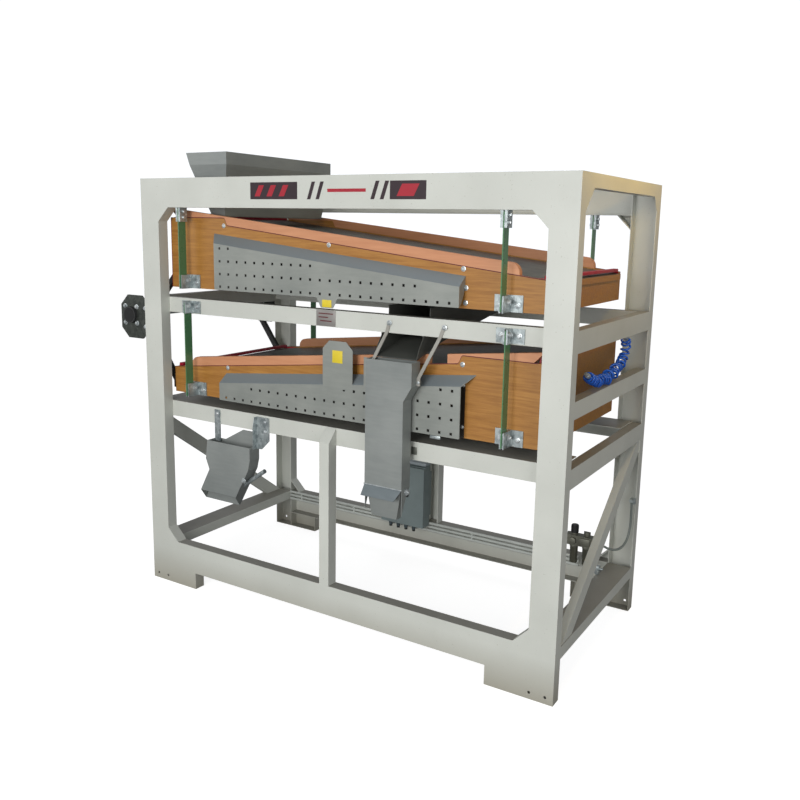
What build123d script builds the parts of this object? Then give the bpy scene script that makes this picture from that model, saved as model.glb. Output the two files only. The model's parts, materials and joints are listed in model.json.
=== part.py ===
from build123d import *
from math import atan, atan2, cos, degrees, hypot, radians, sin, tan
import os

os.makedirs("parts", exist_ok=True)

# Frame, measured from its outer left face, its front face and the floor
FRAME_LENGTH = 1960
FRAME_DEPTH = 925
FRAME_HEIGHT = 1800
POST_WIDTH = 102
CHANNEL_DEPTH = 50
SHEET = 3
TOP_BEAM_HEIGHT = 120
FOOT_HEIGHT = 75
FOOT_LENGTH = 264
BOTTOM_BEAM_HEIGHT = 125
CORNER_RUN = 58
FOOT_HOLE_RADIUS = 5.5
FOOT_HOLE_INSET = 30
FOOT_HOLE_SPACING = 60
FOOT_HOLE_HEIGHT = 25

# Cross members inside the two end panels
TUBE_DEPTH = 40
TUBE_WALL = 3
MID_BEAM_BOTTOM = 1235
MID_BEAM_HEIGHT = 65
LOW_BEAM_BOTTOM = 770
LOW_BEAM_HEIGHT = 70
SHELF_DEPTH = 160
SIDE_RAIL_LEVELS = ((765, 835), (1225, 1300))
EXTRA_RAIL_LEVEL = (1005, 1065)
TOP_RAIL_HEIGHT = 47
TOP_PLATE_REACHES = (72, 44)
TOP_PLATE_DROPS = (73, 55)
BOTTOM_SIDE_BEAM_HEIGHT = 45
CENTRE_POST_LEFT = 954
CENTRE_POST_WIDTH = 46
REAR_CENTRE_POST_LEFT = 945
REAR_CENTRE_POST_WIDTH = 65
MITRE_DROP = 53
BRACE_WIDTH = 60
BRACE_THICKNESS = 30
BRACE_INSET = 10

# Sieve decks: two equal boxes, the lower one turned half round
DECK_LENGTH = 1740
DECK_FRONT = 75
DECK_DEPTH = FRAME_DEPTH - 2 * DECK_FRONT
DECK_START = 97.5
UPPER_DECK_BOTTOM = 1342
LOWER_DECK_BOTTOM = 877
BOARD = 22
FLAT_HEIGHT = 298
FLAT_LENGTH = 305
STEP_LENGTH = 23
STEP_DROP = 31
SHALLOW_HEIGHT = 112
END_LIP_DROP = 26
PAN_THICKNESS = 6
CLAMP_RISE = 44
CLAMP_DEEP_TOP = 337
CLAMP_DEEP_CUT = 39
CLAMP_END = 1636
CLAMP_RADIUS = 36
SEAM_START = 368
SEAM_GAP = 74
SIEVE_THICKNESS = 12
SIEVE_DROP = 5
CLEARANCE = 0.3
OUTLET_LENGTH = 170
OUTLET_START = 1110
OUTLET_INSET = 87.5
OUTLET_DEPTH = DECK_DEPTH - 2 * OUTLET_INSET

# Perforated guards on the side boards
GUARD_SHEET = 2
GUARD_START = 252
GUARD_LENGTH = 1182
GUARD_REACH = 45
GUARD_BOTTOM = 5
GUARD_TOP = 234
GUARD_BEND_DROP = 35
GUARD_SLOPE = 0.1026
GUARD_END_CUT = 38
GUARD_HOLE = 10
GUARD_PITCH = 46.7
GUARD_ROW_PITCH = 52
GUARD_HOLE_START = 322
GUARD_HOLE_FLOOR = 19
GUARD_ROWS = (24, 21, 11, 2)
GUARD_END_RADIUS = 120
GUARD_END_LEDGE = 20
LOWER_TAB = ((948, 1155), (979, 1186), (1057, 1186), (1088, 1155))
CHUTE_TAB = ((1139, 1137), (1250, 1137))
TAB_LAP = 20
UPPER_TAB = ((915, 1352), (938, 1309), (995, 1309), (1019, 1352))

# Leaf springs and their clamps
SPRING_THICKNESS = 4
SPRING_WIDTH = 40
SPRING_FRONT = 5
SPRING_SIDE_GAP = 0.6
SPRING_PLACES = (115.5, 1602.5)
LUG_THICKNESS = 6
BRACKET_PLATE = 5
BRACKET_LENGTH = 105
BRACKET_HEIGHT = 58
HANGER_BLOCK_HEIGHT = 58
HANGER_BLOCK_THICKNESS = 10
MID_HANGER_RISE = 4
MID_HANGER_HEIGHT = 51
SPRING_END_GAP = 5

# Drive at the left end
SHAFT_X = -112
SHAFT_Z = 1209
SHAFT_RADIUS = 15
SHAFT_OVERHANG = 6
ECCENTRIC_RADIUS = 45
THROW = 4
STROKE = 4
ECCENTRIC_WIDTH = 24
ROD_RING_WALL = 8
ROD_BORE_SPACE = 0.5
ROD_THICKNESS = 20
ROD_WIDTH = 24
ROD_PAD = 8
ROD_PAD_HEIGHT = 60
ROD_PAD_WIDTH = 44
UPPER_ROD_OFFSET = 140
LOWER_ROD_OFFSET = 95
UPPER_ROD_HEIGHT = 1430
LOWER_ROD_HEIGHT = 925
BEARING_PLATE_FRONT = 21
BEARING_PLATE_THICKNESS = 8
BEARING_PLATE_REACH = 177
BEARING_PLATE_BOTTOM = 1105
BEARING_PLATE_TOP = 1297
BEARING_PLATE_CHAMFER = 44
HOUSING_RADIUS = 37
HOUSING_THICKNESS = 14
PULLEY_REAR_GAP = 225
PULLEY_Y = FRAME_DEPTH - PULLEY_REAR_GAP
PULLEY_RADIUS = 58
PULLEY_WIDTH = 26
MOTOR_PULLEY_RADIUS = 29
MOTOR_RADIUS = 62
MOTOR_LENGTH = 180
MOTOR_GAP = 20
MOTOR_Z = 1385
MOTOR_SHAFT_RADIUS = 12
MOTOR_SHAFT_LENGTH = 34
MOTOR_PLATE = 8
MOTOR_FOOT_HALF = 45
MOTOR_FOOT_DROP = 3
MOTOR_PULLEY_SPACE = 7
BRACKET_REACH = 60
BORE_SPACE = 5
BELT_WIDTH = 12
BELT_THICKNESS = 6

# Hopper over the deep end of the upper deck
HOPPER_LEFT = 188
HOPPER_RIGHT = 415
HOPPER_FRONT = 85
HOPPER_REAR_GAP = 125
HOPPER_REAR = FRAME_DEPTH - HOPPER_REAR_GAP
HOPPER_TOP = 1907
HOPPER_RIM = 50
HOPPER_RIM_INSET = 19
HOPPER_WALL = 2
THROAT_LEFT = 286
THROAT_WIDTH = 74
THROAT_RIGHT = THROAT_LEFT + THROAT_WIDTH
THROAT_FRONT = 130
THROAT_BOTTOM = 1650
COLLAR_LEFT = 200
COLLAR_RIGHT = 425
COLLAR_THICKNESS = 3
ANGLE_SHEET = 3
ANGLE_DROP = 43
ANGLE_REACHES = (38, 60)
COLLAR_GAP = 1

# Discharge chutes
CHUTE_SHEET = 2
LONG_CHUTE_LEFT = 1195
LONG_CHUTE_RIGHT = 1390
LONG_CHUTE_NECK = 1357
LONG_CHUTE_TOP = 1147
LONG_CHUTE_SHOULDER = 1060
LONG_CHUTE_NECK_TOP = 1005
LONG_CHUTE_BOTTOM = 675
LONG_CHUTE_FRONT = -40
LONG_CHUTE_DEPTH = 58
FRONT_REACH = 66
TROUGH_GAP = 8
TROUGH_REAR_GAP = 80
TROUGH_REAR = DECK_FRONT + DECK_DEPTH - TROUGH_REAR_GAP
TROUGH_LIP = 6
TROUGH_MID = 200
TROUGH_MID_HEIGHT = 1200
TROUGH_REAR_HEIGHT = 1290
TROUGH_TOP = 1332
TROUGH_RISE = 3
TROUGH_STEP = 10
TROUGH_NOSE = 18
TROUGH_NOSE_RISE = 40
SPOUT_INSET = 4
SPOUT_STEP = 6
CHEEK_BACK = (-13, 635)
SPOUT_LEFT = 1212
SPOUT_RIGHT = 1322
SPOUT_BOTTOM = 550
SPOUT_FRONT = -15
CHEEK_TIP_Z = 576
FLAP_LENGTH = 46
FLAP_TAPER = 18
FLAP_SHEET = 2
STRAP_WIDTH = 14
STRAP_SHEET = 4
STRAP_TOP = 1280
STRAP_PLACES = ((1233, LONG_CHUTE_LEFT + CHUTE_SHEET, 1100, 1140), (1463, LONG_CHUTE_RIGHT, 1062, 1090))
STRAP_LOW_FRONT = -5
STRAP_LEAN_DROP = 40
SMALL_CHUTE_DEPTH = 60
SMALL_CHUTE_TOP = 705
SMALL_CHUTE_LEFT = 356
SMALL_CHUTE_RIGHT = 594
SMALL_CHUTE_BACK_TOP = 760
SMALL_CHUTE_SHOULDER = 650
SMALL_CHUTE_WAIST = (584, 607)
SMALL_CHUTE_TIP = (480, 418)
SMALL_CHUTE_MOUTH_LEFT = 280
SMALL_CHUTE_KNEES = ((364, 577), (345, 623))
SMALL_CHUTE_MOUTH_FRONT = 478
SMALL_CHUTE_BACK_STEPS = (400, 507)
HANGER_SHEET = 5
HANGER_WIDTH = 30
HANGER_TOP = 832
HANGER_LAP = 10
HANGER_KEY = (660, 735)
HANGER_FLANGE_FRONT = 20
HANGER_FLANGE_SHOULDER = 790
HANDLE_RADIUS = 9
HANDLE_LENGTH = 140
HANDLE_START = (535, 30, 530)
HANDLE_RUN = 0.82
HANDLE_CLIMB = 0.57
GATE_SHEET = 3
GATE_SIDE_LAP = 8
GATE_END_LAP = 5

# Electric box and compressed air parts
BOX_LEFT = 735
BOX_RIGHT = 971
BOX_STANDOFF = 13
BOX_DEPTH = 62
BOX_BACK = FRAME_DEPTH - CHANNEL_DEPTH - BOX_STANDOFF
BOX_FRONT = BOX_BACK - BOX_DEPTH
BOX_BOTTOM = 188
BOX_TOP = 498
BOX_ROOF_DROP = 11
BOX_STRIP_DROP = 40
BOX_WALL = 3
LID_THICKNESS = 12
LID_TOP_GAP = 4
GLAND_RADIUS = 8
GLAND_LENGTH = 34
GLAND_COUNT = 4
GLAND_INSET = 36
GLAND_PITCH = 44
AIR_LENGTH = 120
AIR_RIGHT_GAP = 140
AIR_RIGHT = FRAME_LENGTH - AIR_RIGHT_GAP
AIR_LEFT = AIR_RIGHT - AIR_LENGTH
AIR_REAR_GAP = 115
AIR_FRONT = FRAME_DEPTH - CHANNEL_DEPTH - AIR_REAR_GAP
AIR_DEPTH = 40
AIR_BOTTOM = 290
AIR_TOP = 335
BOWL_RADIUS = 17
BOWL_LENGTH = 80
AIR_KNOB_INSET = 35
AIR_BOWL_INSET = 30
AIR_ARM_INSET = 45
AIR_ARM_RISE = 8
AIR_ARM_THICKNESS = 6
AIR_PLATE_DROP = 40
AIR_PLATE_RISE = 30
AIR_NECK = 8
AIR_NECK_RADIUS = 13
KNOB_RADIUS = 16
KNOB_HEIGHT = 32
HOSE_RADIUS = 18
HOSE_FACES = 12
TUBE_RADIUS = 5
TUBE_GAP = 1
TUBE_FACES = 8
RUN_SHARE = 0.45
CLIP_HALF = 10
CLIP_HEIGHT = 12
CLIP_JAW = 7
LINE_RADIUS = 6
LINE_LEVELS = (160, 178, 196)
LINE_START = 104
LINE_LAP = 30
LINE_END = AIR_LEFT + LINE_LAP
LINE_CLIP_START = 180
LINE_CLIP_PITCH = 340
LINE_CLIP_WIDTH = 8

# Model frame: the middle of the whole machine's footprint
X0 = (BEARING_PLATE_REACH - FRAME_LENGTH) / 2
Y0 = (FRONT_REACH - FRAME_DEPTH) / 2

SIDES = (0, 1)
DECKS = {
    "upper": (X0 + DECK_START, Y0, UPPER_DECK_BOTTOM, 1),
    "lower": (X0 + DECK_START + DECK_LENGTH, Y0 + FRAME_DEPTH, LOWER_DECK_BOTTOM, -1),
}


def front_plane(y):
    """Upright plane at depth y: sketch x runs right, sketch y runs up, -amount goes rearward."""
    return Plane(origin=(X0, Y0 + y, 0), x_dir=(1, 0, 0), z_dir=(0, -1, 0))


def side_plane(x):
    """Upright plane at length x: sketch x runs rearward, sketch y runs up."""
    return Plane(origin=(X0 + x, Y0, 0), x_dir=(0, 1, 0), z_dir=(1, 0, 0))


def level_plane(z):
    """Level plane at height z."""
    return Plane(origin=(X0, Y0, z))


def deck_front(deck, across):
    """Upright plane along one deck, seen from its own front, from its deep end."""
    x, y, z, way = DECKS[deck]
    return Plane(origin=(x, y + way * across, z), x_dir=(way, 0, 0), z_dir=(0, -way, 0))


def deck_side(deck, along):
    """Upright plane across one deck at a distance from its deep end."""
    x, y, z, way = DECKS[deck]
    return Plane(origin=(x + way * along, y, z), x_dir=(0, way, 0), z_dir=(way, 0, 0))


def deck_level(deck, height):
    """Level plane at a height over one deck's bottom."""
    x, y, z, way = DECKS[deck]
    return Plane(origin=(x, y, z + height), x_dir=(way, 0, 0), z_dir=(0, 0, 1))


def block(x1, x2, y1, y2, z1, z2, mode=Mode.ADD):
    """Straight-sided solid between two corners, added to the part being built."""
    with BuildSketch(level_plane(z1)) as drawing:
        with Locations(((x1 + x2) / 2, (y1 + y2) / 2)):
            Rectangle(x2 - x1, y2 - y1)
    extrude(drawing.sketch, amount=z2 - z1, mode=mode)


def outline(plane, points, depth, mode=Mode.ADD):
    """Solid from a closed outline on a plane."""
    with BuildSketch(plane) as drawing:
        with BuildLine():
            Polyline(*points, close=True)
        make_face()
    extrude(drawing.sketch, amount=depth, mode=mode)


def finish(piece, name):
    """Label one sub-part and write its file."""
    piece.part.label = name
    export_step(piece.part, "parts/" + name + ".step")


def panel_y(side):
    """Start and end depth of the front (0) or the rear (1) panel."""
    if side == 0:
        return 0, CHANNEL_DEPTH
    return FRAME_DEPTH - CHANNEL_DEPTH, FRAME_DEPTH


def panel_hollow_y(side):
    """Depths of the hollow inside a panel's channels, which open inwards."""
    if side == 0:
        return SHEET, CHANNEL_DEPTH
    return FRAME_DEPTH - CHANNEL_DEPTH, FRAME_DEPTH - SHEET


def tube_y(side):
    """Depths of the tubes that lie against the inside of a panel."""
    if side == 0:
        return CHANNEL_DEPTH, CHANNEL_DEPTH + TUBE_DEPTH
    return FRAME_DEPTH - CHANNEL_DEPTH - TUBE_DEPTH, FRAME_DEPTH - CHANNEL_DEPTH


def mirrored_y(y, side):
    """The same place measured from the front or from the rear face."""
    if side == 0:
        return y
    return FRAME_DEPTH - y


# End panels: folded channel posts and beams
BEAM_START = POST_WIDTH
BEAM_END = FRAME_LENGTH - POST_WIDTH
TOP_BEAM_BOTTOM = FRAME_HEIGHT - TOP_BEAM_HEIGHT
BOTTOM_BEAM_TOP = FOOT_HEIGHT + BOTTOM_BEAM_HEIGHT

for side, name in enumerate(("front_posts", "rear_posts")):
    y1, y2 = panel_y(side)
    h1, h2 = panel_hollow_y(side)
    with BuildPart() as posts:
        for x in (0, BEAM_END):
            block(x, x + POST_WIDTH, y1, y2, 0, FRAME_HEIGHT)
            block(x + SHEET, x + POST_WIDTH - SHEET, h1, h2, SHEET, FRAME_HEIGHT - SHEET, Mode.SUBTRACT)
        for outer, way in ((0, 1), (FRAME_LENGTH, -1)):
            with BuildSketch(front_plane(y1)):
                with Locations((outer + way * FOOT_HOLE_INSET, FOOT_HOLE_HEIGHT),
                               (outer + way * (FOOT_HOLE_INSET + FOOT_HOLE_SPACING), FOOT_HOLE_HEIGHT)):
                    Circle(FOOT_HOLE_RADIUS)
            extrude(amount=-CHANNEL_DEPTH, mode=Mode.SUBTRACT)
    finish(posts, name)

for name, z1, z2 in (("top_beams", TOP_BEAM_BOTTOM, FRAME_HEIGHT),
                     ("bottom_beams", FOOT_HEIGHT, BOTTOM_BEAM_TOP)):
    with BuildPart() as beams:
        for side in SIDES:
            y1, y2 = panel_y(side)
            h1, h2 = panel_hollow_y(side)
            block(BEAM_START, BEAM_END, y1, y2, z1, z2)
            block(BEAM_START, BEAM_END, h1, h2, z1 + SHEET, z2 - SHEET, Mode.SUBTRACT)
    finish(beams, name)

with BuildPart() as feet:
    for side in SIDES:
        y1, y2 = panel_y(side)
        h1, h2 = panel_hollow_y(side)
        block(POST_WIDTH, FOOT_LENGTH, y1, y2, 0, FOOT_HEIGHT)
        block(POST_WIDTH, FOOT_LENGTH - SHEET, h1, h2, SHEET, FOOT_HEIGHT, Mode.SUBTRACT)
        block(FRAME_LENGTH - FOOT_LENGTH, BEAM_END, y1, y2, 0, FOOT_HEIGHT)
        block(FRAME_LENGTH - FOOT_LENGTH + SHEET, BEAM_END, h1, h2, SHEET, FOOT_HEIGHT, Mode.SUBTRACT)
finish(feet, "feet")

with BuildPart() as gussets:
    for side in SIDES:
        y1, y2 = panel_y(side)
        for x, across in ((BEAM_START, 1), (BEAM_END, -1)):
            for z, up in ((TOP_BEAM_BOTTOM, -1), (BOTTOM_BEAM_TOP, 1)):
                corner = ((x, z), (x + across * CORNER_RUN, z), (x, z + up * CORNER_RUN))
                outline(front_plane(y1), corner, -CHANNEL_DEPTH)
                inner = CORNER_RUN - SHEET * 1.5
                hollow = ((x, z), (x + across * inner, z), (x, z + up * inner))
                start = y1 + SHEET * (1 - side)
                outline(front_plane(start), hollow, SHEET - CHANNEL_DEPTH, Mode.SUBTRACT)
finish(gussets, "corner_gussets")


# Tubes between the panels
def tube_along(side, z1, z2):
    y1, y2 = tube_y(side)
    start, end = TUBE_DEPTH, FRAME_LENGTH - TUBE_DEPTH
    block(start, end, y1, y2, z1, z2)
    block(start, end, y1 + TUBE_WALL, y2 - TUBE_WALL, z1 + TUBE_WALL, z2 - TUBE_WALL, Mode.SUBTRACT)


def tube_across(x, z1, z2, width=TUBE_DEPTH):
    y1, y2 = CHANNEL_DEPTH, FRAME_DEPTH - CHANNEL_DEPTH
    block(x, x + width, y1, y2, z1, z2)
    block(x + TUBE_WALL, x + width - TUBE_WALL, y1, y2, z1 + TUBE_WALL, z2 - TUBE_WALL, Mode.SUBTRACT)


MID_BEAM_TOP = MID_BEAM_BOTTOM + MID_BEAM_HEIGHT
LOW_BEAM_TOP = LOW_BEAM_BOTTOM + LOW_BEAM_HEIGHT
RIGHT_TUBE = FRAME_LENGTH - TUBE_DEPTH

with BuildPart() as mid_beams:
    for side in SIDES:
        tube_along(side, MID_BEAM_BOTTOM, MID_BEAM_TOP)
finish(mid_beams, "mid_beams")

with BuildPart() as low_beams:
    for side in SIDES:
        tube_along(side, LOW_BEAM_BOTTOM, LOW_BEAM_TOP - SHEET)
        y1, y2 = sorted((mirrored_y(CHANNEL_DEPTH, side), mirrored_y(CHANNEL_DEPTH + SHELF_DEPTH, side)))
        block(TUBE_DEPTH, RIGHT_TUBE, y1, y2, LOW_BEAM_TOP - SHEET, LOW_BEAM_TOP)
finish(low_beams, "low_beams")

with BuildPart() as side_rails:
    for z1, z2 in SIDE_RAIL_LEVELS:
        tube_across(0, z1, z2)
        tube_across(RIGHT_TUBE, z1, z2)
    tube_across(RIGHT_TUBE, *EXTRA_RAIL_LEVEL)
    for x in (0, BEAM_END):
        tube_across(x, BOTTOM_BEAM_TOP - BOTTOM_SIDE_BEAM_HEIGHT, BOTTOM_BEAM_TOP, POST_WIDTH)
finish(side_rails, "side_rails")

with BuildPart() as top_rails:
    rail_bottom = FRAME_HEIGHT - TOP_RAIL_HEIGHT
    for x in (0, RIGHT_TUBE):
        tube_across(x, rail_bottom, FRAME_HEIGHT)
    for x in (0, FRAME_LENGTH - SHEET):
        for side, reach, drop in zip(SIDES, TOP_PLATE_REACHES, TOP_PLATE_DROPS):
            y1 = mirrored_y(CHANNEL_DEPTH, side)
            y2 = mirrored_y(CHANNEL_DEPTH + reach, side)
            outline(side_plane(x), ((y1, rail_bottom), (y2, rail_bottom), (y1, rail_bottom - drop)), SHEET)
finish(top_rails, "top_side_rails")

with BuildPart() as centre_posts:
    outline(side_plane(CENTRE_POST_LEFT),
            ((0, BOTTOM_BEAM_TOP), (CHANNEL_DEPTH, BOTTOM_BEAM_TOP), (CHANNEL_DEPTH, LOW_BEAM_TOP),
             (0, LOW_BEAM_TOP - MITRE_DROP)), CENTRE_POST_WIDTH)
    outline(side_plane(CENTRE_POST_LEFT + SHEET),
            ((SHEET, BOTTOM_BEAM_TOP + SHEET), (CHANNEL_DEPTH, BOTTOM_BEAM_TOP + SHEET),
             (CHANNEL_DEPTH, LOW_BEAM_TOP - SHEET), (SHEET, LOW_BEAM_TOP - MITRE_DROP - SHEET)),
            CENTRE_POST_WIDTH - 2 * SHEET, Mode.SUBTRACT)
    right = REAR_CENTRE_POST_LEFT + REAR_CENTRE_POST_WIDTH
    y1, y2 = panel_y(1)
    block(REAR_CENTRE_POST_LEFT, right, y1, y2, BOTTOM_BEAM_TOP, LOW_BEAM_TOP)
    block(REAR_CENTRE_POST_LEFT + SHEET, right - SHEET, y1, y2 - SHEET, BOTTOM_BEAM_TOP, LOW_BEAM_TOP,
          Mode.SUBTRACT)
finish(centre_posts, "centre_posts")

with BuildPart() as braces:
    foot = CHANNEL_DEPTH + BRACE_INSET
    head = SIDE_RAIL_LEVELS[0][0]
    far = FRAME_DEPTH - CHANNEL_DEPTH
    rise = (head - BOTTOM_BEAM_TOP) / (far - foot - BRACE_WIDTH / 2)
    foot_width = BRACE_WIDTH / sin(atan(rise))
    band = ((foot, BOTTOM_BEAM_TOP), (foot + foot_width, BOTTOM_BEAM_TOP),
            (far, BOTTOM_BEAM_TOP + rise * (far - foot - foot_width)), (far, head),
            (foot + (head - BOTTOM_BEAM_TOP) / rise, head))
    outline(side_plane(FRAME_LENGTH - SHEET - BRACE_THICKNESS), band, BRACE_THICKNESS)
    outline(side_plane(SHEET), [(FRAME_DEPTH - y, z) for y, z in band], BRACE_THICKNESS)
finish(braces, "side_braces")


# Sieve decks
DECK_SLOPE = (FLAT_HEIGHT - STEP_DROP - SHALLOW_HEIGHT) / (DECK_LENGTH - FLAT_LENGTH - STEP_LENGTH)
STEP_END = FLAT_LENGTH + STEP_LENGTH
STEP_HEIGHT = FLAT_HEIGHT - STEP_DROP
DECK_REAR = DECK_FRONT + DECK_DEPTH
INSIDE_FRONT = DECK_FRONT + BOARD
INSIDE_REAR = DECK_REAR - BOARD


def board_top(along):
    """Height of the sloping top edge over the deck's bottom."""
    return STEP_HEIGHT - DECK_SLOPE * (along - STEP_END)


def side_board(deck, across):
    with BuildSketch(deck_front(deck, across)) as drawing:
        with BuildLine():
            Line((0, 0), (0, FLAT_HEIGHT))
            Line((0, FLAT_HEIGHT), (FLAT_LENGTH, FLAT_HEIGHT))
            Spline((FLAT_LENGTH, FLAT_HEIGHT), (STEP_END, STEP_HEIGHT),
                   tangents=((1, 0), (1, -DECK_SLOPE)), tangent_scalars=(0.9, 0.6))
            Line((STEP_END, STEP_HEIGHT), (DECK_LENGTH, SHALLOW_HEIGHT))
            Line((DECK_LENGTH, SHALLOW_HEIGHT), (DECK_LENGTH, 0))
            Line((DECK_LENGTH, 0), (0, 0))
        make_face()
    extrude(drawing.sketch, amount=-BOARD)


def clamp_board(deck, across, notched):
    top_start = board_top(CLAMP_END) + CLAMP_RISE
    with BuildSketch(deck_front(deck, across)) as drawing:
        with BuildLine():
            Line((CLAMP_DEEP_CUT, FLAT_HEIGHT), (FLAT_LENGTH, FLAT_HEIGHT))
            Spline((FLAT_LENGTH, FLAT_HEIGHT), (STEP_END, STEP_HEIGHT),
                   tangents=((1, 0), (1, -DECK_SLOPE)), tangent_scalars=(0.9, 0.6))
            Line((STEP_END, STEP_HEIGHT), (CLAMP_END, board_top(CLAMP_END)))
            Line((CLAMP_END, board_top(CLAMP_END)), (CLAMP_END, top_start - CLAMP_RADIUS))
            RadiusArc((CLAMP_END, top_start - CLAMP_RADIUS), (CLAMP_END - CLAMP_RADIUS, top_start),
                      -CLAMP_RADIUS * 1.05)
            Line((CLAMP_END - CLAMP_RADIUS, top_start), (0, CLAMP_DEEP_TOP))
            Line((0, CLAMP_DEEP_TOP), (CLAMP_DEEP_CUT, FLAT_HEIGHT))
        make_face()
    extrude(drawing.sketch, amount=-BOARD)
    if notched:
        with BuildSketch(deck_front(deck, across)) as drawing:
            with Locations((SEAM_START + SEAM_GAP / 2, STEP_HEIGHT + CLAMP_RISE)):
                Rectangle(SEAM_GAP, 3 * CLAMP_RISE)
        extrude(drawing.sketch, amount=-BOARD, mode=Mode.SUBTRACT)


def guard(deck, across, outward):
    """Bent sheet: sloping top from the board to the bend, then a face down to the deck's bottom."""
    face = across + outward * GUARD_REACH
    inner = face - outward * GUARD_SHEET
    end = GUARD_START + GUARD_LENGTH
    run = hypot(1, GUARD_SLOPE)
    bend = GUARD_TOP - GUARD_BEND_DROP
    cut = GUARD_SHEET * 1.4
    section = ((across, GUARD_TOP), (face, bend), (face, bend - GUARD_TOP), (inner, bend - GUARD_TOP),
               (inner, bend - cut / 2), (across, GUARD_TOP - cut))
    with BuildSketch(deck_side(deck, GUARD_START)) as drawing:
        with BuildLine():
            Polyline(*section, close=True)
        make_face()
    way = DECKS[deck][3]
    extrude(drawing.sketch, amount=GUARD_LENGTH * run, dir=(way / run, 0, -GUARD_SLOPE / run))
    low = across + outward * GUARD_REACH / 2
    with BuildSketch(deck_level(deck, GUARD_BOTTOM)) as drawing:
        with Locations(((GUARD_START + end) / 2, low)):
            Rectangle(GUARD_LENGTH * 1.1, GUARD_REACH * 1.5)
    extrude(drawing.sketch, amount=-2 * GUARD_TOP, mode=Mode.SUBTRACT)
    with BuildSketch(deck_level(deck, 0)) as drawing:
        with BuildLine():
            Polyline((GUARD_START - 1, across), (GUARD_START, across), (GUARD_START + GUARD_END_CUT, face),
                     (GUARD_START + GUARD_END_CUT, face + outward), (GUARD_START - 1, face + outward),
                     close=True)
        make_face()
    extrude(drawing.sketch, amount=2 * GUARD_TOP, mode=Mode.SUBTRACT)
    end_top = GUARD_TOP - GUARD_SLOPE * GUARD_LENGTH
    arc_top = end_top - cut - GUARD_END_LEDGE
    with BuildSketch(deck_side(deck, end - GUARD_SHEET)) as drawing:
        with BuildLine():
            Line((across, end_top - cut / 2), (inner, end_top - GUARD_BEND_DROP - cut / 4))
            Line((inner, end_top - GUARD_BEND_DROP - cut / 4), (inner, GUARD_BOTTOM))
            RadiusArc((inner, GUARD_BOTTOM), (across, arc_top), outward * GUARD_END_RADIUS)
            Line((across, arc_top), (across, end_top - cut / 2))
        make_face()
    extrude(drawing.sketch, amount=GUARD_SHEET)
    with BuildSketch(deck_front(deck, face + outward)) as drawing:
        for row, count in enumerate(GUARD_ROWS):
            height = GUARD_HOLE_FLOOR + row * GUARD_ROW_PITCH
            for column in range(count):
                with Locations((GUARD_HOLE_START + column * GUARD_PITCH, height)):
                    Rectangle(GUARD_HOLE, GUARD_HOLE)
    extrude(drawing.sketch, amount=outward * (GUARD_SHEET + 2), mode=Mode.SUBTRACT)


def guard_bend_z(x):
    """Height of the lower front guard's bend over a place along the frame."""
    along = DECK_START + DECK_LENGTH - x
    return LOWER_DECK_BOTTOM + GUARD_TOP - GUARD_BEND_DROP - GUARD_SLOPE * (along - GUARD_START)


def lug_pair(plane_at, along, outer, inner, bottom, top):
    """Two lugs beside a spring strip, standing across the machine."""
    gap = SPRING_THICKNESS / 2 + SPRING_SIDE_GAP
    for start in (along - gap - LUG_THICKNESS, along + gap):
        with BuildSketch(plane_at(start)) as drawing:
            with Locations(((outer + inner) / 2, (bottom + top) / 2)):
                Rectangle(abs(outer - inner), top - bottom)
        extrude(drawing.sketch, amount=LUG_THICKNESS)


def shoe_bracket(deck, along, side):
    board = DECK_FRONT if side == 0 else DECK_REAR
    outward = -1 if side == 0 else 1
    with BuildSketch(deck_front(deck, board)) as drawing:
        with Locations((along, BRACKET_HEIGHT / 2)):
            Rectangle(BRACKET_LENGTH, BRACKET_HEIGHT)
    extrude(drawing.sketch, amount=-outward * BRACKET_PLATE)
    tip = mirrored_y(SPRING_FRONT + BRACKET_PLATE, side)
    lug_pair(lambda start: deck_side(deck, start), along, tip, board + outward * BRACKET_PLATE, 0,
             BRACKET_HEIGHT)


def connecting_rod(deck, y, target_z):
    """Rod from the eccentric to the left end board, fixed there by a pad."""
    bore = ECCENTRIC_RADIUS + THROW + STROKE + ROD_BORE_SPACE
    ring = bore + ROD_RING_WALL
    pad_x = DECK_START - ROD_PAD
    angle = atan2(target_z - SHAFT_Z, pad_x - SHAFT_X)
    length = hypot(target_z - SHAFT_Z, pad_x - SHAFT_X)
    start = ring - ROD_RING_WALL / 2
    half = ROD_WIDTH / 2
    across = (-half * sin(angle), half * cos(angle))
    near = (SHAFT_X + start * cos(angle), SHAFT_Z + start * sin(angle))
    end = (SHAFT_X + length * cos(angle), SHAFT_Z + length * sin(angle))
    with BuildSketch(front_plane(y - ROD_THICKNESS / 2)) as drawing:
        with Locations((SHAFT_X, SHAFT_Z)):
            Circle(ring)
        with BuildLine():
            Polyline((near[0] + across[0], near[1] + across[1]), (end[0] + across[0], end[1] + across[1]),
                     (end[0] - across[0], end[1] - across[1]), (near[0] - across[0], near[1] - across[1]),
                     close=True)
        make_face()
        with Locations((SHAFT_X, SHAFT_Z)):
            Circle(bore, mode=Mode.SUBTRACT)
    extrude(drawing.sketch, amount=-ROD_THICKNESS)
    block(DECK_START, DECK_START + ROD_WIDTH, y - ROD_THICKNESS, y + ROD_THICKNESS,
          target_z - ROD_PAD_HEIGHT, target_z + ROD_PAD_HEIGHT, Mode.SUBTRACT)
    block(pad_x, DECK_START, y - ROD_PAD_WIDTH / 2, y + ROD_PAD_WIDTH / 2,
          target_z - ROD_PAD_HEIGHT / 2, target_z + ROD_PAD_HEIGHT / 2)


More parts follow.
